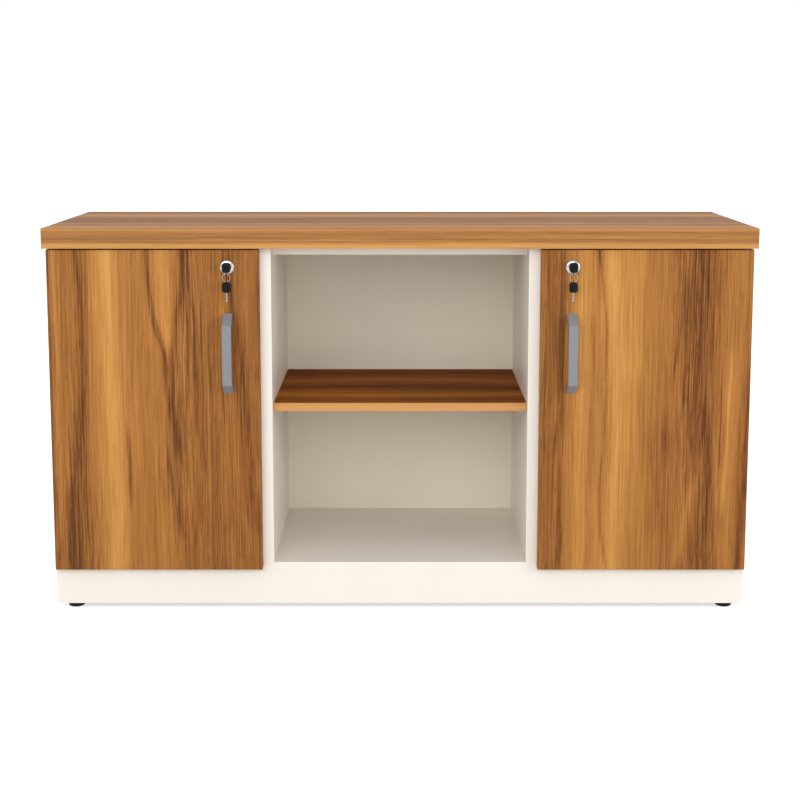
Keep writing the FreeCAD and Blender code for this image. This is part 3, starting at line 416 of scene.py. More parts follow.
def level_walnut(name, seed, base, rows, edge_rows, pale, specular, shade_tint=(1, 1, 1, 1)):
    """Laminate with its grain along X. Its rows go from front to back, and those of its edge upwards.

    The edge band is blended towards a pale colour by the share given as pale; on the shelf this is painted light
    on its lit front edge. The last argument, a colour multiplied over the board's own figure, is painted shade on
    the shelf, a darker and warmer top.
    """
    low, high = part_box(name)
    middle, half_depth = (low.y + high.y) / 2, (high.y - low.y) / 2

    def build(graph):
        x, y, z = graph.place()

        def outer(distance, outline):
            """1 on an outline that lies on both sides of the middle, and 0 inside it."""
            return graph.smooth(graph.math("ABSOLUTE", distance), outline - BAND_START, outline - BAND_FULL)

        end = outer(x, high.x)
        band = graph.math("MAXIMUM", end, outer(graph.minus(y, middle), half_depth))
        run = graph.plus(x, graph.times(end, graph.minus(y, x)))
        wander = graph.stretched((x, y, seed), (3.0, 8.0, 1.0))
        ripple = graph.stretched((run, z, seed), (5.0, 30.0, 1.0), detail=3.0)
        bent = graph.plus(y, graph.times(wander, LEVEL_WANDER))
        raised = graph.plus(z, graph.times(ripple, BAND_WANDER))
        across = graph.times(graph.minus(bent, low.y), 1 / (high.y - low.y))
        along = graph.times(graph.minus(x, low.x), 1 / (high.x - low.x))
        up = graph.times(graph.minus(raised, low.z), 1 / (high.z - low.z))
        placed = graph.plus(graph.times(streaks(graph, across, along, rows), graph.minus(1.0, band)),
                            graph.times(streaks(graph, up, along, edge_rows), band))
        made = use(graph, WALNUT, Across=graph.plus(graph.times(y, graph.minus(1.0, end)), seed),
                   Deep=graph.times(z, 3.0), Along=run, Tone=base, Streaks=placed)
        finish = walnut_finish(graph, made)
        # The colour multiplied over the board is painted shade on the shelf, a darker and warmer top; on the top
        # it changes nothing.
        board = graph.blend(1.0, made["Colour"], shade_tint, "MULTIPLY")
        finish["Base Color"] = graph.blend(graph.times(band, pale), board, BAND_HAZE)
        return finish

    return material(name + "_walnut", PLAIN_WALNUT, build, specular=specular)


# On a level board a path has (from the left, from the front) points, and on its edge (from the left,
# upwards) points.
TOP_STREAKS = [
    (((0, .95), (1, .94)), (.05, .05), .26),
    (((0, .76), (1, .75)), (.06, .06), -.14),
    (((0, .52), (.5, .55), (1, .56)), (.06, .05), .24),
    (((0, .38), (.4, .36), (1, .40)), (.03, .03), .24),
    (((0, .20), (.3, .18), (.7, .21), (1, .17)), (.015, .015), .16),
    (((0, .08), (1, .08)), (.06, .06), -.10),
]
TOP_EDGE = [
    (((0, .93), (1, .93)), (.06, .06), -.18),
    (((0, .74), (.5, .72), (1, .77)), (.12, .12), .15),
    (((0, .46), (.3, .52), (.6, .46), (1, .42)), (.05, .05), .24),
    (((0, .30), (.5, .34), (1, .28)), (.04, .04), .18),
    (((0, .12), (1, .12)), (.14, .14), -.28),
]
SHELF_STREAKS = [
    (((0, .90), (1, .88)), (.10, .10), .16),
    (((0, .62), (.5, .66), (1, .60)), (.05, .05), -.20),
    (((0, .42), (.4, .46), (1, .40)), (.04, .05), .26),
    (((0, .24), (.5, .20), (1, .26)), (.06, .05), -.20),
    (((0, .10), (1, .12)), (.05, .05), .10),
]
# One wide light streak over the whole of the shelf's front edge: painted light, the lit edge against the shaded
# top.
SHELF_LIT_EDGE = [(((0, .35), (1, .35)), (.9, .9), -.40)]
# Painted shade: a colour multiplied over the shelf that darkens and warms it, because its top lies in shade in the
# bay.
SHELF_SHADE_TINT = (1.0, 0.84, 0.56, 1)
top_walnut = level_walnut("top_edge_band", 1.7, 0.46, TOP_STREAKS, TOP_EDGE, pale=0.10, specular=0.1)
# The shelf's base tone is darker than the top's. This is partly the walnut's own tone and partly painted shade.
# The large pale share on its edge is painted light.
shelf_walnut = level_walnut("centre_shelf", 5.3, 0.64, SHELF_STREAKS, SHELF_LIT_EDGE, pale=0.32, specular=0.012,
                            shade_tint=SHELF_SHADE_TINT)


# ---------------------------------------------------------------- ivory board, metals and plastic

def ivory(name, red, green, blue):
    """Melamine board: a nearly plain colour with a faint mottle and a fine pebbled surface."""
    def build(graph):
        place = graph.place()
        mottle = graph.stretched(place, (9.0, 9.0, 2.5), detail=4.0, roughness=0.6)
        pebble = graph.noise(graph.vector(*place), detail=3.0, roughness=0.6, scale=900.0)
        tone = graph.plus(0.5, graph.times(mottle, 0.5), graph.times(pebble, 0.25))
        colour = graph.shades(tone, (red - 5, green - 6, blue - 8), (red + 3, green + 3, blue + 3))
        return {"Base Color": colour, "Roughness": graph.plus(0.42, graph.times(pebble, 0.2)),
                "Normal": bump(graph, pebble, 0.00006, 0.5, SOFT_EDGE)}
    return material(name, linear(red, green, blue), build)


def build_pine(graph):
    """Pale softwood, its rings drawn out along Y."""
    rings = graph.stretched(graph.place(), (40.0, 3.0, 60.0), detail=4.0, roughness=0.6, distortion=0.4)
    colour = graph.ramp(graph.plus(0.5, rings), [(0.25, linear(222, 190, 142)), (0.75, linear(188, 148, 98))])
    return {"Base Color": colour, "Normal": bump(graph, rings, 0.0002, 0.3)}


def metal(name, red, green, blue, roughness, brushed=0.0, edge=None, metallic=1.0):
    """Metal with fine upright brushing and faint smudges, its edges rounded to a radius if one is given."""
    def build(graph):
        place = graph.place()
        brush = graph.stretched(place, (2600.0, 2600.0, 12.0))
        smudge = graph.noise(graph.vector(*place), detail=3.0, scale=60.0)
        tone = graph.plus(0.5, graph.times(brush, 0.5 * brushed), graph.times(smudge, 0.25))
        colour = graph.shades(tone, (red - 12, green - 12, blue - 12), (red + 8, green + 8, blue + 8))
        rough = graph.plus(roughness, graph.times(smudge, 0.12), graph.times(brush, 0.15 * brushed))
        return {"Base Color": colour, "Roughness": rough,
                "Normal": bump(graph, brush, 0.00003, brushed, edge)}
    return material(name, linear(red, green, blue), build, metallic=metallic)


def build_plastic(graph):
    """Nearly black plastic with a fine grain."""
    grain = graph.noise(graph.vector(*graph.place()), detail=3.0, scale=1800.0)
    return {"Base Color": graph.shades(graph.plus(0.5, grain), (13, 13, 14), (24, 24, 26)),
            "Roughness": graph.plus(0.38, graph.times(grain, 0.3)),
            "Normal": bump(graph, grain, 0.00004, 0.5, SOFT_EDGE)}


white_board = ivory("white_board", 239, 234, 225)
# The back board is warmer and a little darker than the white board. This is partly a board of its own, and partly
# painted warm bounce light from the walnut and painted shade in the bay.
back_board = ivory("back_board", 239, 232, 215)
pine = material("pine", linear(208, 172, 124), build_pine, roughness=0.7)
satin_metal = metal("satin_metal", 127, 129, 134, 0.5, brushed=0.3, metallic=0.0)
bright_metal = metal("bright_metal", 182, 183, 186, 0.16)
dark_neck = metal("dark_neck", 40, 40, 42, 0.4)
zinc = metal("zinc", 188, 190, 192, 0.34, brushed=0.2, edge=0.0002)
hinge_steel = metal("hinge_steel", 178, 178, 176, 0.28, brushed=0.3, edge=0.0003)
black_plastic = material("black_plastic", linear(18, 18, 19), build_plastic, specular=0.12)

BY_SLOT = {
    "top_laminate": top_walnut, "door_laminate": left_walnut, "white_board": white_board,
    "back_board": back_board, "pine": pine, "satin_metal": satin_metal, "bright_metal": bright_metal,
    "zinc": zinc, "hinge_steel": hinge_steel, "black_plastic": black_plastic,
}
# The nodes that differ from the rest of their slot.
BY_NODE = {"centre_shelf": shelf_walnut, "right_door_panel": right_walnut,
           "right_door_edge_band": right_walnut}
for row in frame["record"]["subparts"]:
    finishes = nodes[row["node"]].data.materials
    finishes.clear()
    finishes.append(BY_NODE.get(row["node"], BY_SLOT[row["material_slot"]]))


# ---------------------------------------------------------------- solids for detailed pieces, in millimetres

def prism(outline, low, high):
    """A solid with a flat outline in X and Y, from one height to another."""
    shape = bmesh.new()
    bottom = [shape.verts.new((x, y, low)) for x, y in outline]
    top = [shape.verts.new((x, y, high)) for x, y in outline]
    shape.faces.new(bottom)
    shape.faces.new(top)
    for i in range(len(outline)):
        shape.faces.new((bottom[i - 1], bottom[i], top[i], top[i - 1]))
    bmesh.ops.recalc_face_normals(shape, faces=shape.faces)
    return shape


def turned(profile, steps=48, hollow=False, flutes=0, flute_depth=0.0):
    """A solid turned about Z from (radius, height) points. A hollow one joins its last point to its first."""
    shape = bmesh.new()
    rows = []
    for radius, height in profile:
        row = [shape.verts.new((0, 0, height))] * steps if radius == 0 else []
        for step in range(steps if radius else 0):
            turn = 2 * math.pi * step / steps
            wide = radius - flute_depth * (0.5 - 0.5 * math.cos(flutes * turn))
            row.append(shape.verts.new((wide * math.cos(turn), wide * math.sin(turn), height)))
        rows.append(row)
    for low, high in zip(rows, rows[1:] + (rows[:1] if hollow else [])):
        for step in range(steps):
            corners = (low[step - 1], low[step], high[step], high[step - 1])
            shape.faces.new(list(dict.fromkeys(corners)))
    bmesh.ops.recalc_face_normals(shape, faces=shape.faces)
    return shape


def swept(path, section):
    """A wire along points that lie round the Y axis, with a section given as (outwards, along Y) points."""
    shape = bmesh.new()
    rows = []
    for x, y, z in path:
        out = Vector((x, 0, z)).normalized()
        rows.append([shape.verts.new(Vector((x, y, z)) + out * a + Vector((0, b, 0))) for a, b in section])
    for low, high in zip(rows, rows[1:]):
        for i in range(len(section)):
            shape.faces.new((low[i - 1], low[i], high[i], high[i - 1]))
    shape.faces.new(rows[0])
    shape.faces.new(rows[-1])
    bmesh.ops.recalc_face_normals(shape, faces=shape.faces)
    return shape


def softened(corners, radii, steps=6):
    """An outline whose corners are rounded, each to its own radius."""
    points = []
    for i, (corner, radius) in enumerate(zip(corners, radii)):
        here = Vector(corner)
        before = (Vector(corners[i - 1]) - here).normalized()
        after = (Vector(corners[(i + 1) % len(corners)]) - here).normalized()
        if not radius:
            points.append(here)
            continue
        half = before.angle(after) / 2
        middle = here + (before + after).normalized() * radius / math.sin(half)
        start = here + before * radius / math.tan(half) - middle
        end = here + after * radius / math.tan(half) - middle
        turn = start.angle_signed(end)
        for step in range(steps + 1):
            part = -turn * step / steps
            points.append(middle + Vector((start.x * math.cos(part) - start.y * math.sin(part),
                                           start.x * math.sin(part) + start.y * math.cos(part))))
    return points


def rectangle(low, high):
    """The outline of a rectangle between two corners."""
    return [(low[0], low[1]), (high[0], low[1]), (high[0], high[1]), (low[0], high[1])]


def box(low, high):
    """A rectangular solid between two corners."""
    return prism(rectangle(low, high), low[2], high[2])


def rod(radius, half, steps):
    """A round solid along Z, with its middle at the origin."""
    return turned([(0, -half), (radius, -half), (radius, half), (0, half)], steps)


def eased(shape, width, chosen, steps=3):
    """Round the edges that a test picks."""
    edges = [edge for edge in shape.edges if chosen(edge)]
    bmesh.ops.bevel(shape, geom=edges, offset=width, segments=steps, profile=0.5, affect="EDGES",
                    clamp_overlap=False)
    return shape


def joined(shape, *more):
    """Several solids in one mesh."""
    for other in more:
        mesh = bpy.data.meshes.new("part")
        other.to_mesh(mesh)
        shape.from_mesh(mesh)
        bpy.data.meshes.remove(mesh)
        other.free()
    return shape


def cut(shape, *tools):
    """A solid less its tools."""
    things = []
    for solid in (shape,) + tools:
        mesh = bpy.data.meshes.new("part")
        solid.to_mesh(mesh)
        solid.free()
        thing = bpy.data.objects.new("part", mesh)
        bpy.context.scene.collection.objects.link(thing)
        things.append(thing)
    for tool in things[1:]:
        less = things[0].modifiers.new("cut", "BOOLEAN")
        less.object = tool
        less.solver = "EXACT"
    made = bpy.data.meshes.new_from_object(things[0].evaluated_get(bpy.context.evaluated_depsgraph_get()))
    result = bmesh.new()
    result.from_mesh(made)
    bpy.data.meshes.remove(made)
    for thing in things:
        mesh = thing.data
        bpy.data.objects.remove(thing)
        bpy.data.meshes.remove(mesh)
    return result


def moved(shape, *turns, at=(0, 0, 0)):
    """A solid turned by matrices, the last one first, and then moved."""
    matrix = Matrix.Translation(at)
    for turn in turns:
        matrix = matrix @ turn
    shape.transform(matrix)
    return shape


def facing(axis):
    """The turn that takes Z to an axis."""
    return Vector(axis).to_track_quat("Z", "Y").to_matrix().to_4x4()


# The turn that takes an outline in X and Y to one in Y and Z, with its height along X.
UPRIGHT = Matrix(((0, 0, 1, 0), (1, 0, 0, 0), (0, 1, 0, 0), (0, 0, 0, 1)))


def same_height(edge):
    """Whether an edge lies in a plane across Z."""
    return abs(edge.verts[0].co.z - edge.verts[1].co.z) < 1e-6


def piece(name, shape, finishes, body, replaced, crease=32):
    """A detailed piece in metres, on its body, in place of its CAD node."""
    shape.transform(Matrix.Scale(0.001, 4))
    mesh = bpy.data.meshes.new(name)
    shape.to_mesh(mesh)
    shape.free()
    for finish in finishes:
        mesh.materials.append(finish)
    mesh.shade_smooth()
    mesh.set_sharp_from_angle(angle=math.radians(crease))
    thing = bpy.data.objects.new(name, mesh)
    bpy.context.scene.collection.objects.link(thing)
    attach(thing, body)
    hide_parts(replaced)


def both_sides(stem, shape, finishes, body, replaced, crease=32):
    """A piece on the left and its mirror image on the right."""
    right = shape.copy()
    right.transform(Matrix.Scale(-1, 4, (1, 0, 0)))
    bmesh.ops.reverse_faces(right, faces=right.faces)
    for side, made in {"left": shape, "right": right}.items():
        piece(f"{side}_{stem}", made, finishes, f"{side}_{body}", f"{side}_{replaced}", crease)


def solids_in(name):
    """The corners of each solid in a CAD node, in millimetres."""
    shape = bmesh.new()
    shape.from_mesh(nodes[name].data)
    bmesh.ops.remove_doubles(shape, verts=shape.verts, dist=1e-6)
    seen, solids = set(), []
    for first in shape.verts:
        if first in seen:
            continue
        seen.add(first)
        found = [first]
        for corner in found:
            for edge in corner.link_edges:
                other = edge.other_vert(corner)
                if other not in seen:
                    seen.add(other)
                    found.append(other)
        solids.append([corner.co * 1000 for corner in found])
    shape.free()
    return solids


def extent(corners):
    """The low and the high corner of the box round some points."""
    return (Vector(min(corner[i] for corner in corners) for i in range(3)),
            Vector(max(corner[i] for corner in corners) for i in range(3)))


# ---------------------------------------------------------------- bow handles

PIVOTS = {joint["name"]: Vector(joint["pos_m"]) * 1000 for joint in frame["joints"]}

# The sizes of this piece and of those below are in millimetres.
HANDLE_FOOT = 18.0
HANDLE_SLOPE = 20.0
HANDLE_BAR = 6.0
HANDLE_INNER_SLOPE = 7.0
HANDLE_BEND = 1.4
HANDLE_INNER_BEND = 2.5
HANDLE_ROUND = 1.1


def bow_handle():
    """A strap bent to a bow, with a crisp bend at each end of the grip and rounded edges."""
    low, high = (corner * 1000 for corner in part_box("left_handle"))
    face, grip, inside = high.y, low.y, low.y + HANDLE_BAR
    inner = (low.z + HANDLE_FOOT, high.z - HANDLE_FOOT)
    corners = [
        (face, low.z), (grip, low.z + HANDLE_SLOPE), (grip, high.z - HANDLE_SLOPE), (face, high.z),
        (face, inner[1]), (inside, inner[1] - HANDLE_INNER_SLOPE), (inside, inner[0] + HANDLE_INNER_SLOPE),
        (face, inner[0]),
    ]
    bends = [0, HANDLE_BEND, HANDLE_BEND, 0, 0, HANDLE_INNER_BEND, HANDLE_INNER_BEND, 0]
    strap = eased(prism(softened(corners, bends), low.x, high.x), HANDLE_ROUND, same_height)
    return moved(strap, UPRIGHT)


both_sides("bow_handle", bow_handle(), [satin_metal], "door", "handle")


# ---------------------------------------------------------------- locks

PLUG_BORE = 7.06
BORE_RIM = 0.3
BARREL_RADIUS = 9.5
BARREL_LENGTH = 23.0
BARREL_CHAMFER = 0.6
ROSETTE_RADIUS = 13.5
ROSETTE_HEIGHT = 2.6
# Below 1, this makes the dome fuller than a quarter of an ellipse.
ROSETTE_POWER = 0.8
ROSETTE_STEPS = 12


def lock_barrel():
    """A barrel with a domed rosette on the door's face."""
    rim = PLUG_BORE + BORE_RIM
    profile = [(PLUG_BORE, BARREL_LENGTH), (PLUG_BORE, BORE_RIM - ROSETTE_HEIGHT)]
    for step in range(ROSETTE_STEPS + 1):
        turn = math.pi / 2 * step / ROSETTE_STEPS
        profile.append((rim + (ROSETTE_RADIUS - rim) * math.sin(turn),
                        -ROSETTE_HEIGHT * math.cos(turn) ** ROSETTE_POWER))
    profile += [(BARREL_RADIUS, 0.0), (BARREL_RADIUS, BARREL_LENGTH - BARREL_CHAMFER),
                (BARREL_RADIUS - BARREL_CHAMFER, BARREL_LENGTH)]
    return moved(turned(profile, 96, hollow=True), facing((0, 1, 0)), at=PIVOTS["left_lock_turn"])


both_sides("rosette", lock_barrel(), [bright_metal], "door", "lock_barrel", 24)


# ---------------------------------------------------------------- folding keys

KEY_THICKNESS = 2.0
KEY_NECK = 10.6
KEY_TIP = 28.6
KEY_EYE = 2.4
BLADE_HALF = 3.0
TIP_HALF = 1.0
TIP_LENGTH = 2.0
NECK_SLOPE = 0.6
NECK_BRIGHT = 0.8
BLADE_ROUND = 0.12
# Each cut in the blade's edges: how far along it lies and how deep it is.
KEY_CUTS = [(13.2, 0.7), (15.8, 1.1), (18.4, 0.5), (21.0, 1.0), (23.6, 0.8)]
CUT_HALF = 1.0
CUT_FLOOR = 0.35
GROOVE_DEPTH = 0.35
GROOVE_START = KEY_NECK - 2.0
GROOVE_STOP = KEY_TIP - 1.0
GROOVE_LOW = -1.0
GROOVE_HIGH = 0.9
PIN_RADIUS = 0.95
PIN_PLAY = 0.1

# Heights on the head are from its pin, and the depths of its recess and ribs from its face.
HEAD_HALF = 8.0
HEAD_ABOVE = 9.6
HEAD_BELOW = 9.4
HEAD_THICKNESS = 7.4
HEAD_CORNER = 5.0
HEAD_ROUND = 2.6
RECESS_DEPTH = 0.45
RECESS_RADIUS = 4.2
RECESS_SLOPE = 0.6
RECESS_STRETCH = 1.1
RIB_PITCH = 1.7
RIB_HALF = 0.35
RIB_TOP = 0.05
RIB_ROOT = 0.7
RIB_ROUND = 0.2
RIB_REACH = 3.8
RIB_FIELD = 4.7
SLOT_HALF = 1.3
SLOT_START = -2.7
LUG_HOLE = -10.7
LUG_BORE = 1.3
LUG_END = -12.6
LUG_HALF = 2.5
LUG_CORNER = 1.9
LUG_THICKNESS = 1.6
LUG_ROOT = 1.5
LUG_ROUND = 0.2


def darkened(shape):
    """Give the neck of a blade, inside the head, the second finish."""
    for face in shape.faces:
        face.material_index = 1 if face.calc_center_median().y < KEY_NECK - NECK_BRIGHT else 0
    return shape


def key_blade():
    """A flat blade along +Y, its eye at the origin, with cuts in both edges and a groove on each flank."""
    edge = [(0.0, KEY_EYE), (KEY_NECK - NECK_SLOPE, KEY_EYE), (KEY_NECK, BLADE_HALF)]
    for place, depth in KEY_CUTS:
        edge += [(place - CUT_HALF, BLADE_HALF), (place - CUT_FLOOR, BLADE_HALF - depth),
                 (place + CUT_FLOOR, BLADE_HALF - depth), (place + CUT_HALF, BLADE_HALF)]
    edge += [(KEY_TIP - TIP_LENGTH, BLADE_HALF), (KEY_TIP, TIP_HALF)]
    outline = [(y, -z) for y, z in edge] + [(y, z) for y, z in reversed(edge)]
    for step in range(1, 12):
        turn = math.radians(90 + 15 * step)
        outline.append((KEY_EYE * math.cos(turn), KEY_EYE * math.sin(turn)))
    half = KEY_THICKNESS / 2
    blade = eased(prism(outline, -half, half), BLADE_ROUND, same_height, 1)
    grooves = [box((GROOVE_START, GROOVE_LOW, flank - GROOVE_DEPTH),
                   (GROOVE_STOP, GROOVE_HIGH, flank + GROOVE_DEPTH)) for flank in (-half, half)]
    bore = rod(PIN_RADIUS + PIN_PLAY, KEY_THICKNESS, 24)
    return darkened(moved(cut(blade, *grooves, bore), UPRIGHT))


def key_head():
    """A rounded plastic head with a slot for the blade, a ribbed recess in its face and a lug for a ring."""
    half = HEAD_THICKNESS / 2
    sideways, lay = facing((1, 0, 0)), Matrix.Rotation(math.radians(90), 4, "X")
    outline = softened(rectangle((-HEAD_HALF, -HEAD_BELOW), (HEAD_HALF, HEAD_ABOVE)), [HEAD_CORNER] * 4, 8)
    block = eased(prism(outline, -half, half), HEAD_ROUND, same_height, 5)
    floor = half - RECESS_DEPTH
    recess = turned([(0, floor), (RECESS_RADIUS, floor), (RECESS_RADIUS + RECESS_SLOPE, half + 1),
                     (0, half + 1)])
    recess.transform(Matrix.Diagonal((1, RECESS_STRETCH, 1, 1)))
    slot = box((-SLOT_HALF, SLOT_START, SLOT_START), (SLOT_HALF, HEAD_THICKNESS, HEAD_ABOVE + 1))
    body = cut(moved(block, lay), moved(recess, lay), slot)
    ribs = []
    for count in range(-2, 3):
        z = count * RIB_PITCH
        reach = RIB_REACH * math.sqrt(1 - (z / RIB_FIELD) ** 2)
        rib = box((-reach, RIB_TOP - half, z - RIB_HALF), (reach, RIB_ROOT - half, z + RIB_HALF))
        ribs.append(eased(rib, RIB_ROUND, lambda edge: edge.calc_length() > 2, 2))
    pin = moved(rod(PIN_RADIUS, 1.5, 20), sideways)
    tab = rectangle((-LUG_HALF, LUG_END), (LUG_HALF, LUG_ROOT - HEAD_BELOW))
    lug = prism(softened(tab, [LUG_CORNER, LUG_CORNER, 0, 0]), -LUG_THICKNESS / 2, LUG_THICKNESS / 2)
    lug = moved(eased(lug, LUG_ROUND, same_height, 2), UPRIGHT)
    eye = moved(rod(LUG_BORE, 2, 32), sideways, at=(0, 0, LUG_HOLE))
    return joined(body, *ribs, pin, cut(lug, eye))


# The spare key hangs upside down on the ring, turned a little, with its blade folded out of its head.
SPARE_TURN = 25
HANGING = Matrix.Rotation(math.radians(SPARE_TURN), 4, "Z") @ Matrix.Rotation(math.pi, 4, "X")
OPENED = HANGING @ Matrix.Rotation(math.pi / 2, 4, "X")
KEY, SPARE = PIVOTS["left_key_fold"], PIVOTS["left_spare_fold"]
BLADE_FINISHES = [bright_metal, dark_neck]
both_sides("key_shank", moved(key_blade(), at=KEY), BLADE_FINISHES, "plug", "key_blade")
both_sides("key_grip", moved(key_head(), at=KEY), [black_plastic], "key_head", "key_head")
both_sides("spare_shank", moved(key_blade(), OPENED, at=SPARE), BLADE_FINISHES, "spare_blade", "spare_blade")
both_sides("spare_grip", moved(key_head(), HANGING, at=SPARE), [black_plastic], "spare", "spare_head")

RING_RADIUS = 7.2
RING_STEPS = 128
# The steps over which the wire crosses from its first turn to its second.
RING_CROSSING = 12
WIRE_WIDE = 0.33
WIRE_THICK = 0.17


def split_ring():
    """A flat wire wound twice round, the turns side by side."""
    low, high = (corner * 1000 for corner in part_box("left_key_ring"))
    path = []
    for step in range(RING_STEPS + 1):
        turn = 4 * math.pi * step / RING_STEPS
        over = min(max((step - (RING_STEPS - RING_CROSSING) / 2) / RING_CROSSING, 0), 1)
        side = WIRE_THICK * (2 * over * over * (3 - 2 * over) - 1)
        path.append((RING_RADIUS * math.sin(turn), side, RING_RADIUS * math.cos(turn)))
    section = [(WIRE_WIDE * math.cos(math.radians(45 * i)), WIRE_THICK * math.sin(math.radians(45 * i)))
               for i in range(8)]
    return moved(swept(path, section), at=(low + high) / 2)


both_sides("split_ring", split_ring(), [bright_metal], "ring", "key_ring", 50)


# ---------------------------------------------------------------- feet and screws

# The radius and the height of each point on a foot, from the middle of its tread to its hub.
FOOT_PROFILE = [(0, 0), (12.5, 0), (14.6, 0.5), (15.7, 1.7), (16.0, 3.0), (16.0, 7.4), (15.6, 8.6),
                (14.6, 9.3), (10.6, 9.6), (9.8, 10.2), (9.6, 12.7), (0, 12.7)]
FOOT_FLUTES = 24
FLUTE_DEPTH = 0.5


def foot_pads():
    """Moulded feet with a fluted rim, a rounded tread and a hub."""
    feet = []
    for corners in solids_in("foot_pads"):
        low, high = extent(corners)
        middle = (low + high) / 2
        foot = turned(FOOT_PROFILE, 96, flutes=FOOT_FLUTES, flute_depth=FLUTE_DEPTH)
        feet.append(moved(foot, at=(middle.x, middle.y, low.z)))
    return joined(*feet)


piece("moulded_feet", foot_pads(), [black_plastic], "carcass", "foot_pads", 40)

# A domed head and a thread's shank look narrower than the plain solids that they take the place of.
DOME_SHARE = 0.88
THREAD_SHARE = 0.9
FLUSH_RISE = 0.2


def cross_screw(head, height, shank, length, flush):
    """A screw with its head above the origin and its shank down +Z, and a cross recess."""
    dome = [(head, 0), (head, -0.3 * height), (0.93 * head, -0.62 * height), (0.74 * head, -0.86 * height),
            (0.45 * head, -height), (0, -height)]
    flat = [(head, 0), (head, -height + 0.3), (head - 0.3, -height), (0, -height)]
    tip = [(0, length), (0.5 * shank, length - shank), (shank, length - 2.2 * shank), (shank, 0)]
    body = turned(tip + (flat if flush else dome), 32)
    arm, wide, deep = 0.52 * head, 0.13 * head, 0.6 * height
    across = box((-arm, -wide, -height - 1), (arm, wide, -height + deep))
    down = box((-wide, -arm, -height - 1), (wide, arm, -height + deep))
    return cut(body, across, down)


def width_at(corners, axis, level):
    """How wide a solid is across an axis, at one level along it."""
    low, high = extent([corner for corner in corners if abs(corner[axis] - level) < 0.1])
    return max(high[i] - low[i] for i in range(3) if i != axis)


def screws(name, flush):
    """A screw at the place of each solid in a node of screws, with its head at the wide end."""
    patterns, made = {}, []
    for corners in solids_in(name):
        low, high = extent(corners)
        spans = [b - a for a, b in zip(low, high)]
        axis = spans.index(max(spans))
        levels = sorted({round(corner[axis], 1) for corner in corners})
        direction = [0, 0, 0]
        direction[axis] = 1
        if width_at(corners, axis, levels[0]) < width_at(corners, axis, levels[-1]):
            direction[axis] = -1
            levels.reverse()
        head, shank = (width_at(corners, axis, level) / 2 for level in (levels[0], levels[-1]))
        height, length = abs(levels[1] - levels[0]), abs(levels[-1] - levels[1])
        if flush:
            height += FLUSH_RISE
        else:
            head *= DOME_SHARE
        size = tuple(round(number, 1) for number in (head, height, shank * THREAD_SHARE, length))
        if size not in patterns:
            patterns[size] = cross_screw(*size, flush)
        at = [(a + b) / 2 for a, b in zip(low, high)]
        at[axis] = levels[1]
        made.append(moved(patterns[size].copy(), facing(direction), at=at))
    for pattern in patterns.values():
        pattern.free()
    return joined(*made)


for name, flush in {"top_screws": True, "divider_screws": True, "fitting_screws": False}.items():
    piece("cross_" + name, screws(name, flush), [zinc], "carcass", name)
for side in ("left", "right"):
    name = f"{side}_door_screws"
    piece(f"{side}_cross_screws", screws(name, False), [zinc], f"{side}_door", name)


# ---------------------------------------------------------------- studio and camera

# The sizes of the studio are in metres.
FLOOR_REACH = 30.0
# How bright the floor and the world are by themselves where the camera or a reflection sees them, and
# how much of its light the world sheds on the object.
FLOOR_GLOW = 0.56
WORLD_GLOW = 1.0
WORLD_SHED = 0.84


def seen(graph):
    """1 for what the camera sees straight on or in a reflection, and 0 for other light."""
    rays = graph.add("ShaderNodeLightPath")
    return graph.math("MAXIMUM", rays.outputs["Is Camera Ray"], rays.outputs["Is Glossy Ray"])


def floor_finish():
    """A matt pale grey with a faint mottle, lifted where it is seen."""
    made = bpy.data.materials.new("floor")
    made.use_nodes = True
    made.node_tree.nodes.clear()
    graph = Graph(made.node_tree)
    mottle = graph.noise(graph.vector(*graph.place()), detail=3.0, scale=2.0)
    shade = graph.ramp(graph.plus(0.5, graph.times(mottle, 0.3)),
                       [(0.0, (0.80, 0.80, 0.80, 1)), (1.0, (0.84, 0.84, 0.84, 1))])
    diffuse, glow = graph.add("ShaderNodeBsdfDiffuse"), graph.add("ShaderNodeEmission")
    both, end = graph.add("ShaderNodeAddShader"), graph.add("ShaderNodeOutputMaterial")
    graph.feed(diffuse.inputs["Color"], shade)
    graph.feed(glow.inputs["Strength"], graph.times(seen(graph), FLOOR_GLOW))
    graph.feed(both.inputs[0], diffuse.outputs[0])
    graph.feed(both.inputs[1], glow.outputs[0])
    graph.feed(end.inputs["Surface"], both.outputs[0])
    return made


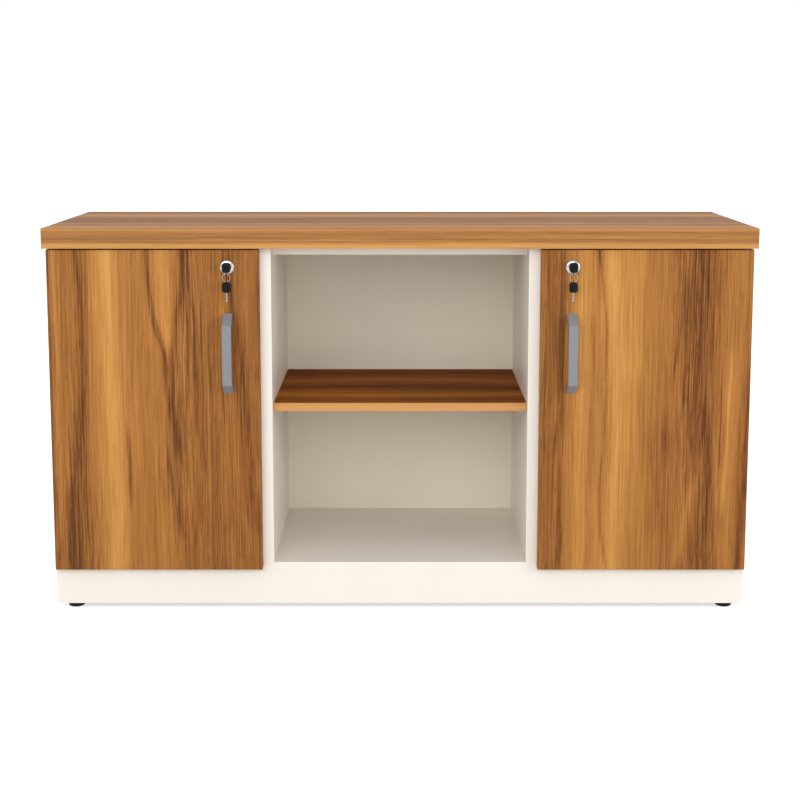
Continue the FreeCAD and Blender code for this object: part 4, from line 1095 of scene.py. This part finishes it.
def stage_plane():
    """The floor that the credenza stands on."""
    mesh = bpy.data.meshes.new("floor")
    corners = rectangle((-FLOOR_REACH, -FLOOR_REACH), (FLOOR_REACH, FLOOR_REACH))
    mesh.from_pydata([(x, y, 0) for x, y in corners], [], [(0, 1, 2, 3)])
    mesh.materials.append(floor_finish())
    floor = bpy.data.objects.new("floor", mesh)
    bpy.context.scene.collection.objects.link(floor)


def sky():
    """A white world that looks a little brighter than the light it sheds."""
    world = bpy.data.worlds.new("studio")
    bpy.context.scene.world = world
    world.use_nodes = True
    graph = Graph(world.node_tree)
    background = world.node_tree.nodes["Background"]
    background.inputs["Color"].default_value = (1, 1, 1, 1)
    light = graph.plus(WORLD_SHED, graph.times(seen(graph), WORLD_GLOW - WORLD_SHED))
    graph.feed(background.inputs["Strength"], light)


# Both lamps are soft boxes that face the middle of the doors.
LAMP_AIM = Vector((0, 0, 0.4))


def lamp(name, at, size, watts):
    """A soft lamp that the camera doesn't see."""
    light = bpy.data.lights.new(name, "AREA")
    light.shape = "RECTANGLE"
    light.size, light.size_y = size
    light.energy = watts
    thing = bpy.data.objects.new(name, light)
    thing.location = at
    thing.rotation_mode = "QUATERNION"
    thing.rotation_quaternion = (LAMP_AIM - Vector(at)).to_track_quat("-Z", "Y")
    thing.visible_camera = False
    bpy.context.scene.collection.objects.link(thing)


stage_plane()
sky()
lamp("front_soft", at=(-1.0, -4.0, 2.0), size=(4.0, 1.6), watts=60)
lamp("side_soft", at=(3.4, -2.8, 1.3), size=(2.0, 2.0), watts=34)

CAMERA_AT = (0.0, -3.036, 0.981)
CAMERA_PITCH = 7.85
CAMERA_LENS = 67.8
CAMERA_SHIFT = -0.11
camera = bpy.data.cameras.new("camera")
camera.sensor_width = 36.0
camera.lens = CAMERA_LENS
camera.shift_y = CAMERA_SHIFT
viewer = bpy.data.objects.new("camera", camera)
viewer.location = CAMERA_AT
viewer.rotation_euler = (math.radians(90 - CAMERA_PITCH), 0, 0)
bpy.context.scene.collection.objects.link(viewer)
bpy.context.scene.camera = viewer
bpy.context.scene.view_settings.view_transform = "Standard"
